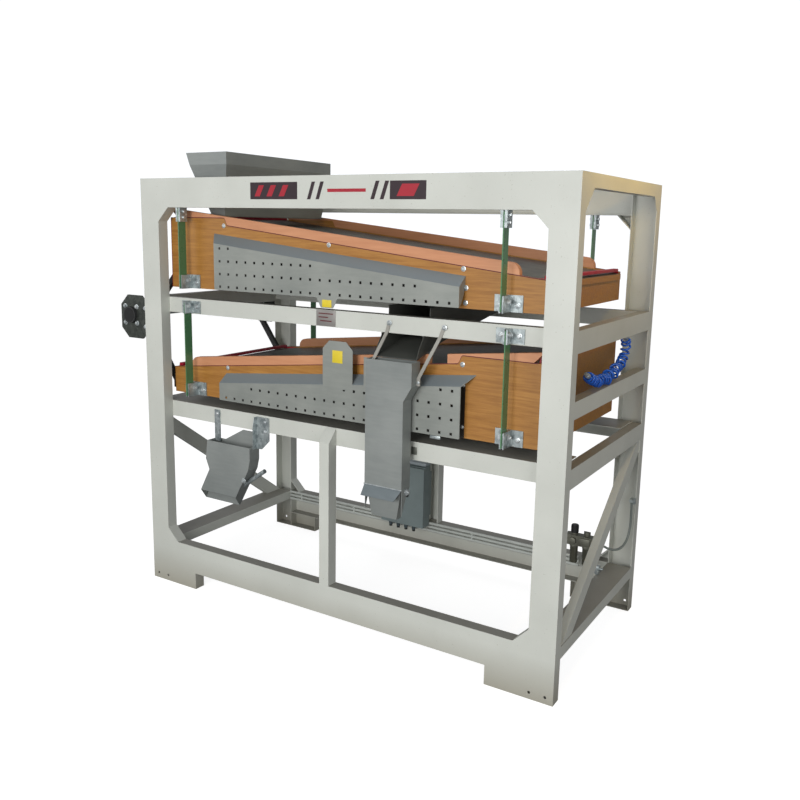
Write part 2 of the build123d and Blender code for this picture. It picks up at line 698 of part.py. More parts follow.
for deck in DECKS:
    with BuildPart() as box:
        side_board(deck, DECK_FRONT)
        side_board(deck, INSIDE_REAR)
        for start, height in ((0, FLAT_HEIGHT), (DECK_LENGTH - BOARD, SHALLOW_HEIGHT - END_LIP_DROP)):
            with BuildSketch(deck_level(deck, 0)):
                with Locations((start + BOARD / 2, (INSIDE_FRONT + INSIDE_REAR) / 2)):
                    Rectangle(BOARD, INSIDE_REAR - INSIDE_FRONT - 2 * CLEARANCE)
            extrude(amount=height)
    finish(box, deck + "_box_boards")

    with BuildPart() as pan:
        with BuildSketch(deck_level(deck, 0)):
            with Locations((DECK_LENGTH / 2, (INSIDE_FRONT + INSIDE_REAR) / 2)):
                Rectangle(DECK_LENGTH - 2 * BOARD, INSIDE_REAR - INSIDE_FRONT)
            with Locations((OUTLET_START + OUTLET_LENGTH / 2, (INSIDE_FRONT + INSIDE_REAR) / 2)):
                Rectangle(OUTLET_LENGTH, OUTLET_DEPTH, mode=Mode.SUBTRACT)
        extrude(amount=PAN_THICKNESS)
    finish(pan, deck + "_bottom_pan")

    with BuildPart() as clamps:
        clamp_board(deck, DECK_FRONT, False)
        clamp_board(deck, INSIDE_REAR, deck == "lower")
    finish(clamps, deck + "_clamp_boards")

    with BuildPart() as sieve:
        start = BOARD + CLEARANCE
        end = DECK_LENGTH + SIEVE_DROP
        top = board_top(start) - SIEVE_DROP
        low = board_top(end) - SIEVE_DROP
        with BuildSketch(deck_front(deck, INSIDE_FRONT)):
            with BuildLine():
                Polyline((start, top), (end, low), (end, low - SIEVE_THICKNESS),
                         (start, top - SIEVE_THICKNESS), close=True)
            make_face()
        extrude(amount=INSIDE_FRONT - INSIDE_REAR)
    finish(sieve, deck + "_sieve")

    with BuildPart() as guards:
        guard(deck, DECK_FRONT, -1)
        guard(deck, DECK_REAR, 1)
        tab_face = front_plane(DECK_FRONT - GUARD_REACH)
        if deck == "upper":
            outline(tab_face, UPPER_TAB, -GUARD_SHEET)
        else:
            for edge in (LOWER_TAB, CHUTE_TAB):
                foot_left = (edge[0][0], guard_bend_z(edge[0][0]) - TAB_LAP)
                foot_right = (edge[-1][0], guard_bend_z(edge[-1][0]) - TAB_LAP)
                outline(tab_face, (foot_left, *edge, foot_right), -GUARD_SHEET)
    finish(guards, deck + "_guards")

    with BuildPart() as brackets:
        for along in SPRING_PLACES:
            for side in SIDES:
                shoe_bracket(deck, along, side)
    finish(brackets, deck + "_spring_brackets")

    with BuildPart() as rods:
        rod_y = UPPER_ROD_OFFSET if deck == "upper" else LOWER_ROD_OFFSET
        rod_z = UPPER_ROD_HEIGHT if deck == "upper" else LOWER_ROD_HEIGHT
        for y in (rod_y, FRAME_DEPTH - rod_y):
            connecting_rod(deck, y, rod_z)
    finish(rods, deck + "_connecting_rods")


# Leaf springs and the hangers that hold their upper ends
def spring_x(deck, along):
    """Length position of a spring, from the frame's left face."""
    x, y, z, way = DECKS[deck]
    return x + way * along - X0


HANGER_BOTTOM = TOP_BEAM_BOTTOM - HANGER_BLOCK_HEIGHT
MID_HANGER_BOTTOM = MID_BEAM_BOTTOM + MID_HANGER_RISE
MID_HANGER_TOP = MID_HANGER_BOTTOM + MID_HANGER_HEIGHT
SPRING_REAR = SPRING_FRONT + SPRING_WIDTH

for deck, top in (("upper", TOP_BEAM_BOTTOM - SPRING_END_GAP), ("lower", MID_HANGER_TOP - SPRING_END_GAP)):
    for end_name, along in zip(("deep", "shallow"), SPRING_PLACES):
        x = spring_x(deck, along)
        bottom = DECKS[deck][2] + SPRING_END_GAP
        with BuildPart() as springs:
            for side in SIDES:
                y1, y2 = sorted((mirrored_y(SPRING_FRONT, side), mirrored_y(SPRING_REAR, side)))
                block(x - SPRING_THICKNESS / 2, x + SPRING_THICKNESS / 2, y1, y2, bottom, top)
        finish(springs, deck + "_" + end_name + "_springs")

with BuildPart() as hangers:
    gap = SPRING_THICKNESS / 2 + SPRING_SIDE_GAP
    for along in SPRING_PLACES:
        x = spring_x("upper", along)
        for side in SIDES:
            y1, y2 = sorted((mirrored_y(SPRING_FRONT, side), mirrored_y(SPRING_REAR, side)))
            for start in (x - gap - HANGER_BLOCK_THICKNESS, x + gap):
                block(start, start + HANGER_BLOCK_THICKNESS, y1, y2, HANGER_BOTTOM, TOP_BEAM_BOTTOM)
finish(hangers, "top_spring_blocks")

with BuildPart() as mid_hangers:
    for along in SPRING_PLACES:
        x = spring_x("lower", along)
        for side in SIDES:
            face = mirrored_y(CHANNEL_DEPTH, side)
            plate = mirrored_y(CHANNEL_DEPTH - BRACKET_PLATE, side)
            tip = mirrored_y(SPRING_FRONT, side)
            y1, y2 = sorted((face, plate))
            block(x - BRACKET_LENGTH / 2, x + BRACKET_LENGTH / 2, y1, y2, MID_HANGER_BOTTOM, MID_HANGER_TOP)
            lug_pair(side_plane, x, tip, plate, MID_HANGER_BOTTOM, MID_HANGER_TOP)
finish(mid_hangers, "mid_spring_hangers")

# Drive
with BuildPart() as bearing_plates:
    c = BEARING_PLATE_CHAMFER
    low, high, reach = BEARING_PLATE_BOTTOM, BEARING_PLATE_TOP, -BEARING_PLATE_REACH
    octagon = ((0, low + c), (0, high - c), (-c, high), (reach + c, high), (reach, high - c),
               (reach, low + c), (reach + c, low), (-c, low))
    for side in SIDES:
        y = BEARING_PLATE_FRONT if side == 0 else FRAME_DEPTH - BEARING_PLATE_FRONT - BEARING_PLATE_THICKNESS
        outline(front_plane(y), octagon, -BEARING_PLATE_THICKNESS)
        with BuildSketch(front_plane(y)):
            with Locations((SHAFT_X, SHAFT_Z)):
                Circle(SHAFT_RADIUS + BORE_SPACE)
        extrude(amount=-BEARING_PLATE_THICKNESS, mode=Mode.SUBTRACT)
finish(bearing_plates, "bearing_plates")


def ring_at(y, thickness, outer, inner):
    """Ring or disc about the shaft line's direction, centred on the shaft."""
    with BuildSketch(front_plane(y)) as drawing:
        with Locations((SHAFT_X, SHAFT_Z)):
            Circle(outer)
            Circle(inner, mode=Mode.SUBTRACT)
    extrude(drawing.sketch, amount=-thickness)


with BuildPart() as housings:
    ring_at(BEARING_PLATE_FRONT - HOUSING_THICKNESS, HOUSING_THICKNESS, HOUSING_RADIUS,
            SHAFT_RADIUS + CLEARANCE)
    ring_at(FRAME_DEPTH - BEARING_PLATE_FRONT, HOUSING_THICKNESS, HOUSING_RADIUS, SHAFT_RADIUS + CLEARANCE)
finish(housings, "bearing_housings")

with BuildPart() as shaft:
    with BuildSketch(front_plane(SHAFT_OVERHANG)):
        with Locations((SHAFT_X, SHAFT_Z)):
            Circle(SHAFT_RADIUS)
    extrude(amount=2 * SHAFT_OVERHANG - FRAME_DEPTH)
    for rod_y, way in ((UPPER_ROD_OFFSET, 1), (LOWER_ROD_OFFSET, -1)):
        for y in (rod_y, FRAME_DEPTH - rod_y):
            with BuildSketch(front_plane(y - ECCENTRIC_WIDTH / 2)):
                with Locations((SHAFT_X + way * THROW, SHAFT_Z)):
                    Circle(ECCENTRIC_RADIUS)
            extrude(amount=-ECCENTRIC_WIDTH)
finish(shaft, "eccentric_shaft")


def grooved_pulley(x, z, radius, bore):
    """Flanged belt pulley turned about a line across the machine."""
    half = PULLEY_WIDTH / 2
    groove = BELT_WIDTH / 2 + CLEARANCE
    rim = radius + BELT_THICKNESS
    spin_line = Axis((X0 + x, Y0, z), (0, 1, 0))
    with BuildSketch(side_plane(x)) as drawing:
        with BuildLine():
            Polyline((PULLEY_Y - half, z + bore), (PULLEY_Y - half, z + rim), (PULLEY_Y - groove, z + rim),
                     (PULLEY_Y - groove, z + radius), (PULLEY_Y + groove, z + radius),
                     (PULLEY_Y + groove, z + rim), (PULLEY_Y + half, z + rim), (PULLEY_Y + half, z + bore),
                     close=True)
        make_face()
    revolve(drawing.sketch, axis=spin_line)


with BuildPart() as shaft_pulley:
    grooved_pulley(SHAFT_X, SHAFT_Z, PULLEY_RADIUS, SHAFT_RADIUS + CLEARANCE)
finish(shaft_pulley, "shaft_pulley")

with BuildPart() as motor_pulley:
    grooved_pulley(SHAFT_X, MOTOR_Z, MOTOR_PULLEY_RADIUS, MOTOR_SHAFT_RADIUS + CLEARANCE)
finish(motor_pulley, "motor_pulley")

with BuildPart() as belt:
    with BuildSketch(front_plane(PULLEY_Y - BELT_WIDTH / 2)):
        for grow, mode in ((BELT_THICKNESS, Mode.ADD), (0, Mode.SUBTRACT)):
            big = PULLEY_RADIUS + CLEARANCE + grow
            small = MOTOR_PULLEY_RADIUS + CLEARANCE + grow
            span = MOTOR_Z - SHAFT_Z
            tilt = atan((big - small) / hypot(span, small - big))
            with BuildLine():
                low_right = (SHAFT_X + big * cos(tilt), SHAFT_Z + big * sin(tilt))
                top_right = (SHAFT_X + small * cos(tilt), MOTOR_Z + small * sin(tilt))
                low_left = (2 * SHAFT_X - low_right[0], low_right[1])
                top_left = (2 * SHAFT_X - top_right[0], top_right[1])
                Line(low_right, top_right)
                ThreePointArc(top_right, (SHAFT_X, MOTOR_Z + small), top_left)
                Line(top_left, low_left)
                ThreePointArc(low_left, (SHAFT_X, SHAFT_Z - big), low_right)
            make_face(mode=mode)
    extrude(amount=-BELT_WIDTH)
finish(belt, "drive_belt")

MOTOR_END = PULLEY_Y - PULLEY_WIDTH / 2 - MOTOR_PULLEY_SPACE
MOTOR_START = MOTOR_END - MOTOR_LENGTH
MOTOR_FOOT = MOTOR_Z - MOTOR_RADIUS - MOTOR_FOOT_DROP

with BuildPart() as motor:
    with BuildSketch(front_plane(MOTOR_START)):
        with Locations((SHAFT_X, MOTOR_Z)):
            Circle(MOTOR_RADIUS)
    extrude(amount=-MOTOR_LENGTH)
    with BuildSketch(front_plane(MOTOR_END)):
        with Locations((SHAFT_X, MOTOR_Z)):
            Circle(MOTOR_SHAFT_RADIUS)
    extrude(amount=-MOTOR_SHAFT_LENGTH)
    block(SHAFT_X - MOTOR_FOOT_HALF, SHAFT_X + MOTOR_FOOT_HALF, MOTOR_START + MOTOR_GAP, MOTOR_END - MOTOR_GAP,
          MOTOR_FOOT, MOTOR_Z - MOTOR_RADIUS / 2)
finish(motor, "motor")

with BuildPart() as motor_bracket:
    rail_top = SIDE_RAIL_LEVELS[1][1]
    block(SHAFT_X - BRACKET_REACH, TUBE_DEPTH, MOTOR_START, MOTOR_END - MOTOR_GAP / 2, MOTOR_FOOT - MOTOR_PLATE,
          MOTOR_FOOT)
    block(0, TUBE_DEPTH, MOTOR_START, MOTOR_END - MOTOR_GAP / 2, rail_top, MOTOR_FOOT - MOTOR_PLATE)
finish(motor_bracket, "motor_bracket")


# Hopper
RIM_BOTTOM = HOPPER_TOP - HOPPER_RIM
ARM_TOP = FRAME_HEIGHT - COLLAR_THICKNESS


def hopper_section(z, left, right, front, shrink):
    """Level section of the hopper, shrunk by the wall for its inside."""
    with BuildSketch(level_plane(z)) as section:
        with Locations(((left + right) / 2, (front + HOPPER_REAR) / 2)):
            Rectangle(right - left - 2 * shrink, HOPPER_REAR - front - 2 * shrink)
    return section.sketch


def hopper_form(shrink, mode):
    throat = hopper_section(THROAT_BOTTOM, THROAT_LEFT, THROAT_RIGHT, THROAT_FRONT, shrink)
    shoulder = hopper_section(RIM_BOTTOM, HOPPER_LEFT + HOPPER_RIM_INSET, HOPPER_RIGHT, HOPPER_FRONT, shrink)
    rim = hopper_section(HOPPER_TOP, HOPPER_LEFT, HOPPER_RIGHT, HOPPER_FRONT, shrink)
    loft([throat, shoulder], ruled=True, mode=mode)
    loft([shoulder, rim], ruled=True, mode=mode)


with BuildPart() as hopper:
    hopper_form(0, Mode.ADD)
    collar_front = CHANNEL_DEPTH + ANGLE_SHEET + COLLAR_GAP
    block(COLLAR_LEFT, COLLAR_RIGHT, collar_front, FRAME_DEPTH - collar_front, ARM_TOP, FRAME_HEIGHT)
    hopper_form(HOPPER_WALL, Mode.SUBTRACT)
finish(hopper, "hopper")

with BuildPart() as hopper_angles:
    for side, reach in enumerate(ANGLE_REACHES):
        y1 = mirrored_y(CHANNEL_DEPTH, side)
        y2 = mirrored_y(CHANNEL_DEPTH + ANGLE_SHEET, side)
        y3 = mirrored_y(CHANNEL_DEPTH + reach, side)
        outline(side_plane(COLLAR_LEFT),
                ((y1, FRAME_HEIGHT), (y1, FRAME_HEIGHT - ANGLE_DROP), (y2, FRAME_HEIGHT - ANGLE_DROP),
                 (y2, ARM_TOP - ANGLE_SHEET), (y3, ARM_TOP - ANGLE_SHEET), (y3, ARM_TOP), (y2, ARM_TOP),
                 (y2, FRAME_HEIGHT)), COLLAR_RIGHT - COLLAR_LEFT)
finish(hopper_angles, "hopper_angles")


# Long chute under the upper deck's outlet, with its trough and straps
def long_chute_outline(inset):
    return ((LONG_CHUTE_LEFT + inset, LONG_CHUTE_TOP), (LONG_CHUTE_RIGHT - inset, LONG_CHUTE_TOP),
            (LONG_CHUTE_RIGHT - inset, LONG_CHUTE_SHOULDER), (LONG_CHUTE_NECK - inset, LONG_CHUTE_NECK_TOP),
            (LONG_CHUTE_NECK - inset, LONG_CHUTE_BOTTOM), (LONG_CHUTE_LEFT + inset, LONG_CHUTE_BOTTOM))


CHUTE_BACK = LONG_CHUTE_FRONT + LONG_CHUTE_DEPTH


def spout_section(z, left, right, front, shrink):
    with BuildSketch(level_plane(z)) as section:
        with Locations(((left + right) / 2, (front + CHUTE_BACK) / 2)):
            Rectangle(right - left - 2 * shrink, CHUTE_BACK - front - 2 * shrink)
    return section.sketch


with BuildPart() as long_chute:
    outline(front_plane(LONG_CHUTE_FRONT), long_chute_outline(0), -LONG_CHUTE_DEPTH)
    outline(front_plane(LONG_CHUTE_FRONT + CHUTE_SHEET), long_chute_outline(CHUTE_SHEET),
            2 * CHUTE_SHEET - LONG_CHUTE_DEPTH, Mode.SUBTRACT)
    for shrink, mode in ((0, Mode.ADD), (CHUTE_SHEET, Mode.SUBTRACT)):
        upper = spout_section(LONG_CHUTE_BOTTOM - CLEARANCE, LONG_CHUTE_LEFT + SPOUT_INSET,
                              LONG_CHUTE_NECK - SPOUT_INSET, LONG_CHUTE_FRONT + SPOUT_STEP, shrink)
        lower = spout_section(SPOUT_BOTTOM, SPOUT_LEFT, SPOUT_RIGHT, SPOUT_FRONT, shrink)
        loft([upper, lower], ruled=True, mode=mode)
    for x in (LONG_CHUTE_LEFT, LONG_CHUTE_NECK - CHUTE_SHEET):
        outline(side_plane(x), ((LONG_CHUTE_FRONT + SPOUT_INSET, LONG_CHUTE_BOTTOM - CLEARANCE),
                                (CHUTE_BACK, LONG_CHUTE_BOTTOM - CLEARANCE), CHEEK_BACK,
                                (LONG_CHUTE_FRONT + SPOUT_INSET, CHEEK_TIP_Z)), CHUTE_SHEET)
finish(long_chute, "long_chute")

with BuildPart() as trough:
    left = LONG_CHUTE_LEFT + TROUGH_GAP
    right = LONG_CHUTE_RIGHT - TROUGH_GAP
    floor_front = LONG_CHUTE_TOP + TROUGH_RISE
    beam_back = CHANNEL_DEPTH + TUBE_DEPTH
    profile = ((TROUGH_LIP, floor_front), (TROUGH_MID, TROUGH_MID_HEIGHT), (TROUGH_REAR, TROUGH_REAR_HEIGHT),
               (TROUGH_REAR, TROUGH_TOP), (beam_back + TROUGH_GAP, TROUGH_TOP),
               (beam_back + TROUGH_GAP, MID_BEAM_BOTTOM), (CHANNEL_DEPTH, MID_BEAM_BOTTOM),
               (CHANNEL_DEPTH, MID_BEAM_BOTTOM - TROUGH_STEP),
               (TROUGH_LIP + TROUGH_NOSE, floor_front + TROUGH_NOSE_RISE))
    hollow = ((TROUGH_LIP - 1, floor_front + CHUTE_SHEET), (TROUGH_MID, TROUGH_MID_HEIGHT + CHUTE_SHEET),
              (TROUGH_REAR - CHUTE_SHEET, TROUGH_REAR_HEIGHT + CHUTE_SHEET),
              (TROUGH_REAR - CHUTE_SHEET, TROUGH_TOP + 1), (TROUGH_LIP - 1, TROUGH_TOP + 1))
    outline(side_plane(left), profile, right - left)
    outline(side_plane(left + CHUTE_SHEET), hollow, right - left - 2 * CHUTE_SHEET, Mode.SUBTRACT)
finish(trough, "collecting_trough")


FLAP_REACH = FRONT_REACH + LONG_CHUTE_FRONT
with BuildPart() as flap:
    drop = (FLAP_LENGTH ** 2 - FLAP_REACH ** 2) ** 0.5
    lean = atan2(FLAP_REACH, drop)
    hinge_z = LONG_CHUTE_BOTTOM - CLEARANCE
    flap_plane = Plane(origin=(X0, Y0 + LONG_CHUTE_FRONT, hinge_z), x_dir=(1, 0, 0),
                       z_dir=(0, -cos(lean), sin(lean)))
    with BuildSketch(flap_plane):
        with BuildLine():
            Polyline((LONG_CHUTE_LEFT, 0), (LONG_CHUTE_NECK, 0), (LONG_CHUTE_NECK - FLAP_TAPER, -FLAP_LENGTH),
                     (LONG_CHUTE_LEFT, -FLAP_LENGTH), close=True)
        make_face()
    extrude(amount=-FLAP_SHEET)
finish(flap, "chute_flap")

with BuildPart() as straps:
    for top_x, low_x, low_z, knee_z in STRAP_PLACES:
        top_y = CHANNEL_DEPTH - STRAP_SHEET
        low_y = STRAP_LOW_FRONT
        lean_top = STRAP_TOP - STRAP_LEAN_DROP
        strap_line = ((top_x, STRAP_TOP), (top_x + STRAP_WIDTH, STRAP_TOP), (low_x + STRAP_WIDTH, knee_z),
                      (low_x + STRAP_WIDTH, low_z), (low_x, low_z), (low_x, knee_z))
        outline(front_plane(low_y), strap_line, low_y - CHANNEL_DEPTH)
        lean_face = ((low_y, knee_z), (top_y, lean_top), (top_y, STRAP_TOP), (low_y - 1, STRAP_TOP),
                     (low_y - 1, knee_z))
        outline(side_plane(low_x - 1), lean_face, top_x - low_x + STRAP_WIDTH + 2, Mode.SUBTRACT)
        lean_back = ((low_y + STRAP_SHEET, knee_z - 1), (CHANNEL_DEPTH, lean_top - 1),
                     (CHANNEL_DEPTH + 1, low_z - 1), (low_y + STRAP_SHEET, low_z - 1))
        outline(side_plane(low_x - 1), lean_back, top_x - low_x + STRAP_WIDTH + 2, Mode.SUBTRACT)
finish(straps, "chute_straps")


# Small chute under the lower deck's outlet
TIP_X, TIP_Z = SMALL_CHUTE_TIP
WAIST_X, WAIST_Z = SMALL_CHUTE_WAIST
SMALL_FRONT = ((SMALL_CHUTE_LEFT, SMALL_CHUTE_TOP), (SMALL_CHUTE_RIGHT, SMALL_CHUTE_TOP),
               (SMALL_CHUTE_RIGHT, SMALL_CHUTE_SHOULDER), SMALL_CHUTE_WAIST, SMALL_CHUTE_TIP,
               (SMALL_CHUTE_MOUTH_LEFT, TIP_Z), *SMALL_CHUTE_KNEES)
with BuildPart() as small_chute:
    outline(front_plane(0), SMALL_FRONT, -SMALL_CHUTE_DEPTH)
    with BuildSketch(front_plane(CHUTE_SHEET)):
        with BuildLine():
            Polyline(*SMALL_FRONT, close=True)
        make_face()
        offset(amount=-CHUTE_SHEET, kind=Kind.INTERSECTION)
    extrude(amount=2 * CHUTE_SHEET - SMALL_CHUTE_DEPTH, mode=Mode.SUBTRACT)
    block(SMALL_CHUTE_LEFT + CHUTE_SHEET, SMALL_CHUTE_RIGHT - CHUTE_SHEET, CHUTE_SHEET,
          SMALL_CHUTE_DEPTH - CHUTE_SHEET, SMALL_CHUTE_TOP - 2 * CHUTE_SHEET, SMALL_CHUTE_TOP, Mode.SUBTRACT)
    mouth_cut = ((-1, SMALL_CHUTE_MOUTH_FRONT), (SMALL_CHUTE_DEPTH + 1, TIP_Z + 1),
                 (SMALL_CHUTE_DEPTH + 1, TIP_Z - 1), (-1, TIP_Z - 1))
    outline(side_plane(0), mouth_cut, SMALL_CHUTE_RIGHT, Mode.SUBTRACT)
    wall_low = SMALL_CHUTE_TOP - 2 * CHUTE_SHEET
    step_left, step_right = SMALL_CHUTE_BACK_STEPS
    back_wall = ((step_left, wall_low), (step_right, SMALL_CHUTE_BACK_TOP),
                 (SMALL_CHUTE_RIGHT, SMALL_CHUTE_BACK_TOP), (SMALL_CHUTE_RIGHT, wall_low))
    outline(front_plane(SMALL_CHUTE_DEPTH - CHUTE_SHEET), back_wall, -CHUTE_SHEET)
finish(small_chute, "small_chute")

with BuildPart() as hangers:
    y1 = CHANNEL_DEPTH - HANGER_SHEET
    left = SMALL_CHUTE_LEFT + CHUTE_SHEET
    low = SMALL_CHUTE_TOP - HANGER_LAP
    key_x, key_z = HANGER_KEY
    block(left, left + HANGER_WIDTH, y1, CHANNEL_DEPTH, low, HANGER_TOP)
    outline(front_plane(y1), ((SMALL_CHUTE_RIGHT, HANGER_TOP), (key_x, HANGER_TOP), (key_x, key_z),
                              (key_x - key_z + low, low), (SMALL_CHUTE_RIGHT, low)), -HANGER_SHEET)
    flange = ((HANGER_FLANGE_FRONT, low), (y1, low), (y1, HANGER_TOP),
              (HANGER_FLANGE_FRONT + HANGER_LAP, HANGER_TOP), (HANGER_FLANGE_FRONT, HANGER_FLANGE_SHOULDER))
    outline(side_plane(SMALL_CHUTE_RIGHT), flange, CHUTE_SHEET)
finish(hangers, "small_chute_hangers")

with BuildPart() as handle:
    x, y, z = HANDLE_START
    grip = Plane(origin=(X0 + x, Y0 + y, z), x_dir=(0, 1, 0), z_dir=(HANDLE_RUN, 0, HANDLE_CLIMB))
    with BuildSketch(grip):
        Circle(HANDLE_RADIUS)
    extrude(amount=HANDLE_LENGTH)
    chute_side = ((WAIST_X + CLEARANCE, WAIST_Z), (TIP_X + CLEARANCE, TIP_Z), (SMALL_CHUTE_LEFT, TIP_Z),
                  (SMALL_CHUTE_LEFT, WAIST_Z))
    outline(front_plane(0), chute_side, -SMALL_CHUTE_DEPTH, Mode.SUBTRACT)
finish(handle, "clamp_handle")

with BuildPart() as gate:
    block(THROAT_LEFT - GATE_SIDE_LAP, THROAT_RIGHT + GATE_SIDE_LAP, THROAT_FRONT - GATE_END_LAP,
          HOPPER_REAR + GATE_END_LAP,
          THROAT_BOTTOM - CLEARANCE - GATE_SHEET, THROAT_BOTTOM - CLEARANCE)
finish(gate, "feed_gate")


# Electric box on the rear centre post
with BuildPart() as box:
    back = FRAME_DEPTH - CHANNEL_DEPTH
    body_front = BOX_FRONT + LID_THICKNESS + CLEARANCE
    block(REAR_CENTRE_POST_LEFT, BOX_RIGHT, BOX_BACK, back, BOTTOM_BEAM_TOP + BOX_STRIP_DROP,
          BOX_TOP - BOX_STRIP_DROP)
    outline(side_plane(BOX_LEFT), ((body_front, BOX_BOTTOM), (BOX_BACK, BOX_BOTTOM), (BOX_BACK, BOX_TOP),
                                   (body_front, BOX_TOP - BOX_ROOF_DROP)), BOX_RIGHT - BOX_LEFT)
    outline(side_plane(BOX_LEFT + BOX_WALL),
            ((BOX_FRONT, BOX_BOTTOM + BOX_WALL), (BOX_BACK - BOX_WALL, BOX_BOTTOM + BOX_WALL),
             (BOX_BACK - BOX_WALL, BOX_TOP - BOX_ROOF_DROP - BOX_WALL),
             (BOX_FRONT, BOX_TOP - BOX_ROOF_DROP - BOX_WALL)), BOX_RIGHT - BOX_LEFT - 2 * BOX_WALL,
            Mode.SUBTRACT)
finish(box, "control_box")

with BuildPart() as lid:
    block(BOX_LEFT, BOX_RIGHT, BOX_FRONT, BOX_FRONT + LID_THICKNESS, BOX_BOTTOM,
          BOX_TOP - BOX_ROOF_DROP - LID_TOP_GAP)
finish(lid, "box_lid")

with BuildPart() as glands:
    with BuildSketch(level_plane(BOX_BOTTOM)):
        for number in range(GLAND_COUNT):
            with Locations((BOX_LEFT + GLAND_INSET + GLAND_PITCH * number, (BOX_FRONT + BOX_BACK) / 2)):
                RegularPolygon(GLAND_RADIUS, 8)
    extrude(amount=-GLAND_LENGTH)
finish(glands, "cable_glands")

# Compressed air unit on the rear bottom beam
with BuildPart() as air_unit:
    middle = AIR_FRONT + AIR_DEPTH / 2
    arm_left, arm_right = AIR_LEFT + AIR_ARM_INSET, AIR_RIGHT - AIR_ARM_INSET
    arm_low = AIR_BOTTOM + AIR_ARM_RISE
    block(AIR_LEFT, AIR_RIGHT, AIR_FRONT, AIR_FRONT + AIR_DEPTH, AIR_BOTTOM, AIR_TOP)
    with BuildSketch(level_plane(AIR_TOP)):
        with Locations((AIR_LEFT + AIR_KNOB_INSET, middle)):
            RegularPolygon(AIR_NECK_RADIUS, 12)
    extrude(amount=AIR_NECK)
    block(arm_left, arm_right, AIR_FRONT + AIR_DEPTH, back - SHEET, arm_low, arm_low + AIR_ARM_THICKNESS)
    block(arm_left, arm_right, back - SHEET, back, BOTTOM_BEAM_TOP - AIR_PLATE_DROP,
          AIR_BOTTOM + AIR_PLATE_RISE)
finish(air_unit, "air_unit")

with BuildPart() as bowls:
    for x in (AIR_LEFT + AIR_KNOB_INSET, AIR_RIGHT - AIR_BOWL_INSET):
        with BuildSketch(level_plane(AIR_BOTTOM - CLEARANCE)):
            with Locations((x, middle)):
                RegularPolygon(BOWL_RADIUS, 16)
        extrude(amount=-BOWL_LENGTH)
finish(bowls, "air_bowls")

with BuildPart() as knob:
    with BuildSketch(level_plane(AIR_TOP + AIR_NECK + CLEARANCE)):
        with Locations((AIR_LEFT + AIR_KNOB_INSET, middle)):
            RegularPolygon(KNOB_RADIUS, 12)
    extrude(amount=KNOB_HEIGHT)
finish(knob, "pressure_knob")

# Spiral air hose at the right end and the grey tube from the air unit
HOSE_POINTS = ((FRAME_LENGTH - 24, 650, 1212), (FRAME_LENGTH - 29, 672, 1189), (FRAME_LENGTH - 32, 682, 1159),
               (FRAME_LENGTH - 34, 673, 1133), (FRAME_LENGTH - 34, 644, 1117), (FRAME_LENGTH - 32, 597, 1107),
               (FRAME_LENGTH - 28, 538, 1097), (FRAME_LENGTH - 24, 464, 1089), (FRAME_LENGTH - 22, 392, 1087),
               (FRAME_LENGTH - 22, 326, 1091), (FRAME_LENGTH - 22, 270, 1104), (FRAME_LENGTH - 22, 226, 1125))
TUBE_POINTS = ((FRAME_LENGTH - 10, FRAME_DEPTH - 75, 500), (FRAME_LENGTH - 10, FRAME_DEPTH - 73, 452),
               (FRAME_LENGTH - 10, FRAME_DEPTH - 69, 400), (FRAME_LENGTH - 13, FRAME_DEPTH - 79, 350),
               (FRAME_LENGTH - 20, FRAME_DEPTH - 107, 317), (FRAME_LENGTH - 36, FRAME_DEPTH - 141, 303),
               (FRAME_LENGTH - 64, FRAME_DEPTH - 163, 305), (FRAME_LENGTH - 98, FRAME_DEPTH - 151, 311),
               (AIR_RIGHT + TUBE_GAP, FRAME_DEPTH - 147, 312))


def cord(name, points, radius, faces):
    """Flexible tube of even thickness: runs joined by arcs as large as the runs allow."""
    route_points = [Vector(X0 + x, Y0 + y, z) for x, y, z in points]
    runs = [end - start for start, end in zip(route_points, route_points[1:])]
    radii = []
    for run, following in zip(runs, runs[1:]):
        turn = radians(run.get_angle(following))
        radii.append(RUN_SHARE * min(run.length, following.length) / tan(turn / 2))
    with BuildPart() as tube:
        with BuildLine() as route:
            FilletPolyline(*route_points, radius=radii)
        path = route.wires()[0]
        with BuildSketch(Plane(origin=path @ 0, z_dir=path % 0)) as section:
            RegularPolygon(radius, faces)
        sweep(section.sketch, path=path)
    finish(tube, name)


cord("blue_hose", HOSE_POINTS, HOSE_RADIUS, HOSE_FACES)
cord("loop_tube", TUBE_POINTS, TUBE_RADIUS, TUBE_FACES)

# Clip and elbow at the tube's upper end
with BuildPart() as fittings:
    x, y, z = TUBE_POINTS[0]
    seat = y + TUBE_RADIUS + TUBE_GAP
    block(x - CLIP_HALF, FRAME_LENGTH, seat, back, z - CLIP_HEIGHT, z + CLIP_HEIGHT)
    block(x - CLIP_JAW, x + CLIP_JAW, y - CLIP_HEIGHT, seat, z + CLEARANCE, z + CLIP_HEIGHT)
finish(fittings, "tube_fittings")

# Three lines clipped along the inside of the rear bottom beam
with BuildPart() as lines:
    line_back = back - CLEARANCE
    line_front = line_back - 2 * LINE_RADIUS
    with BuildSketch(side_plane(LINE_START)):
        for z in LINE_LEVELS:
            with Locations((line_back - LINE_RADIUS, z)):
                RegularPolygon(LINE_RADIUS, 8, major_radius=False, rotation=22.5)
    extrude(amount=LINE_END - LINE_START)
    clip_count = int((LINE_END - LINE_CLIP_START) / LINE_CLIP_PITCH) + 1
    for number in range(clip_count):
        x = LINE_CLIP_START + LINE_CLIP_PITCH * number
        block(x, x + LINE_CLIP_WIDTH, line_front, line_back, LINE_LEVELS[0], LINE_LEVELS[-1])
finish(lines, "air_lines")
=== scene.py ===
"""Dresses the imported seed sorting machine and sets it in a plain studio."""

import json
import math

import bmesh
import bpy
from mathutils import Matrix, Vector


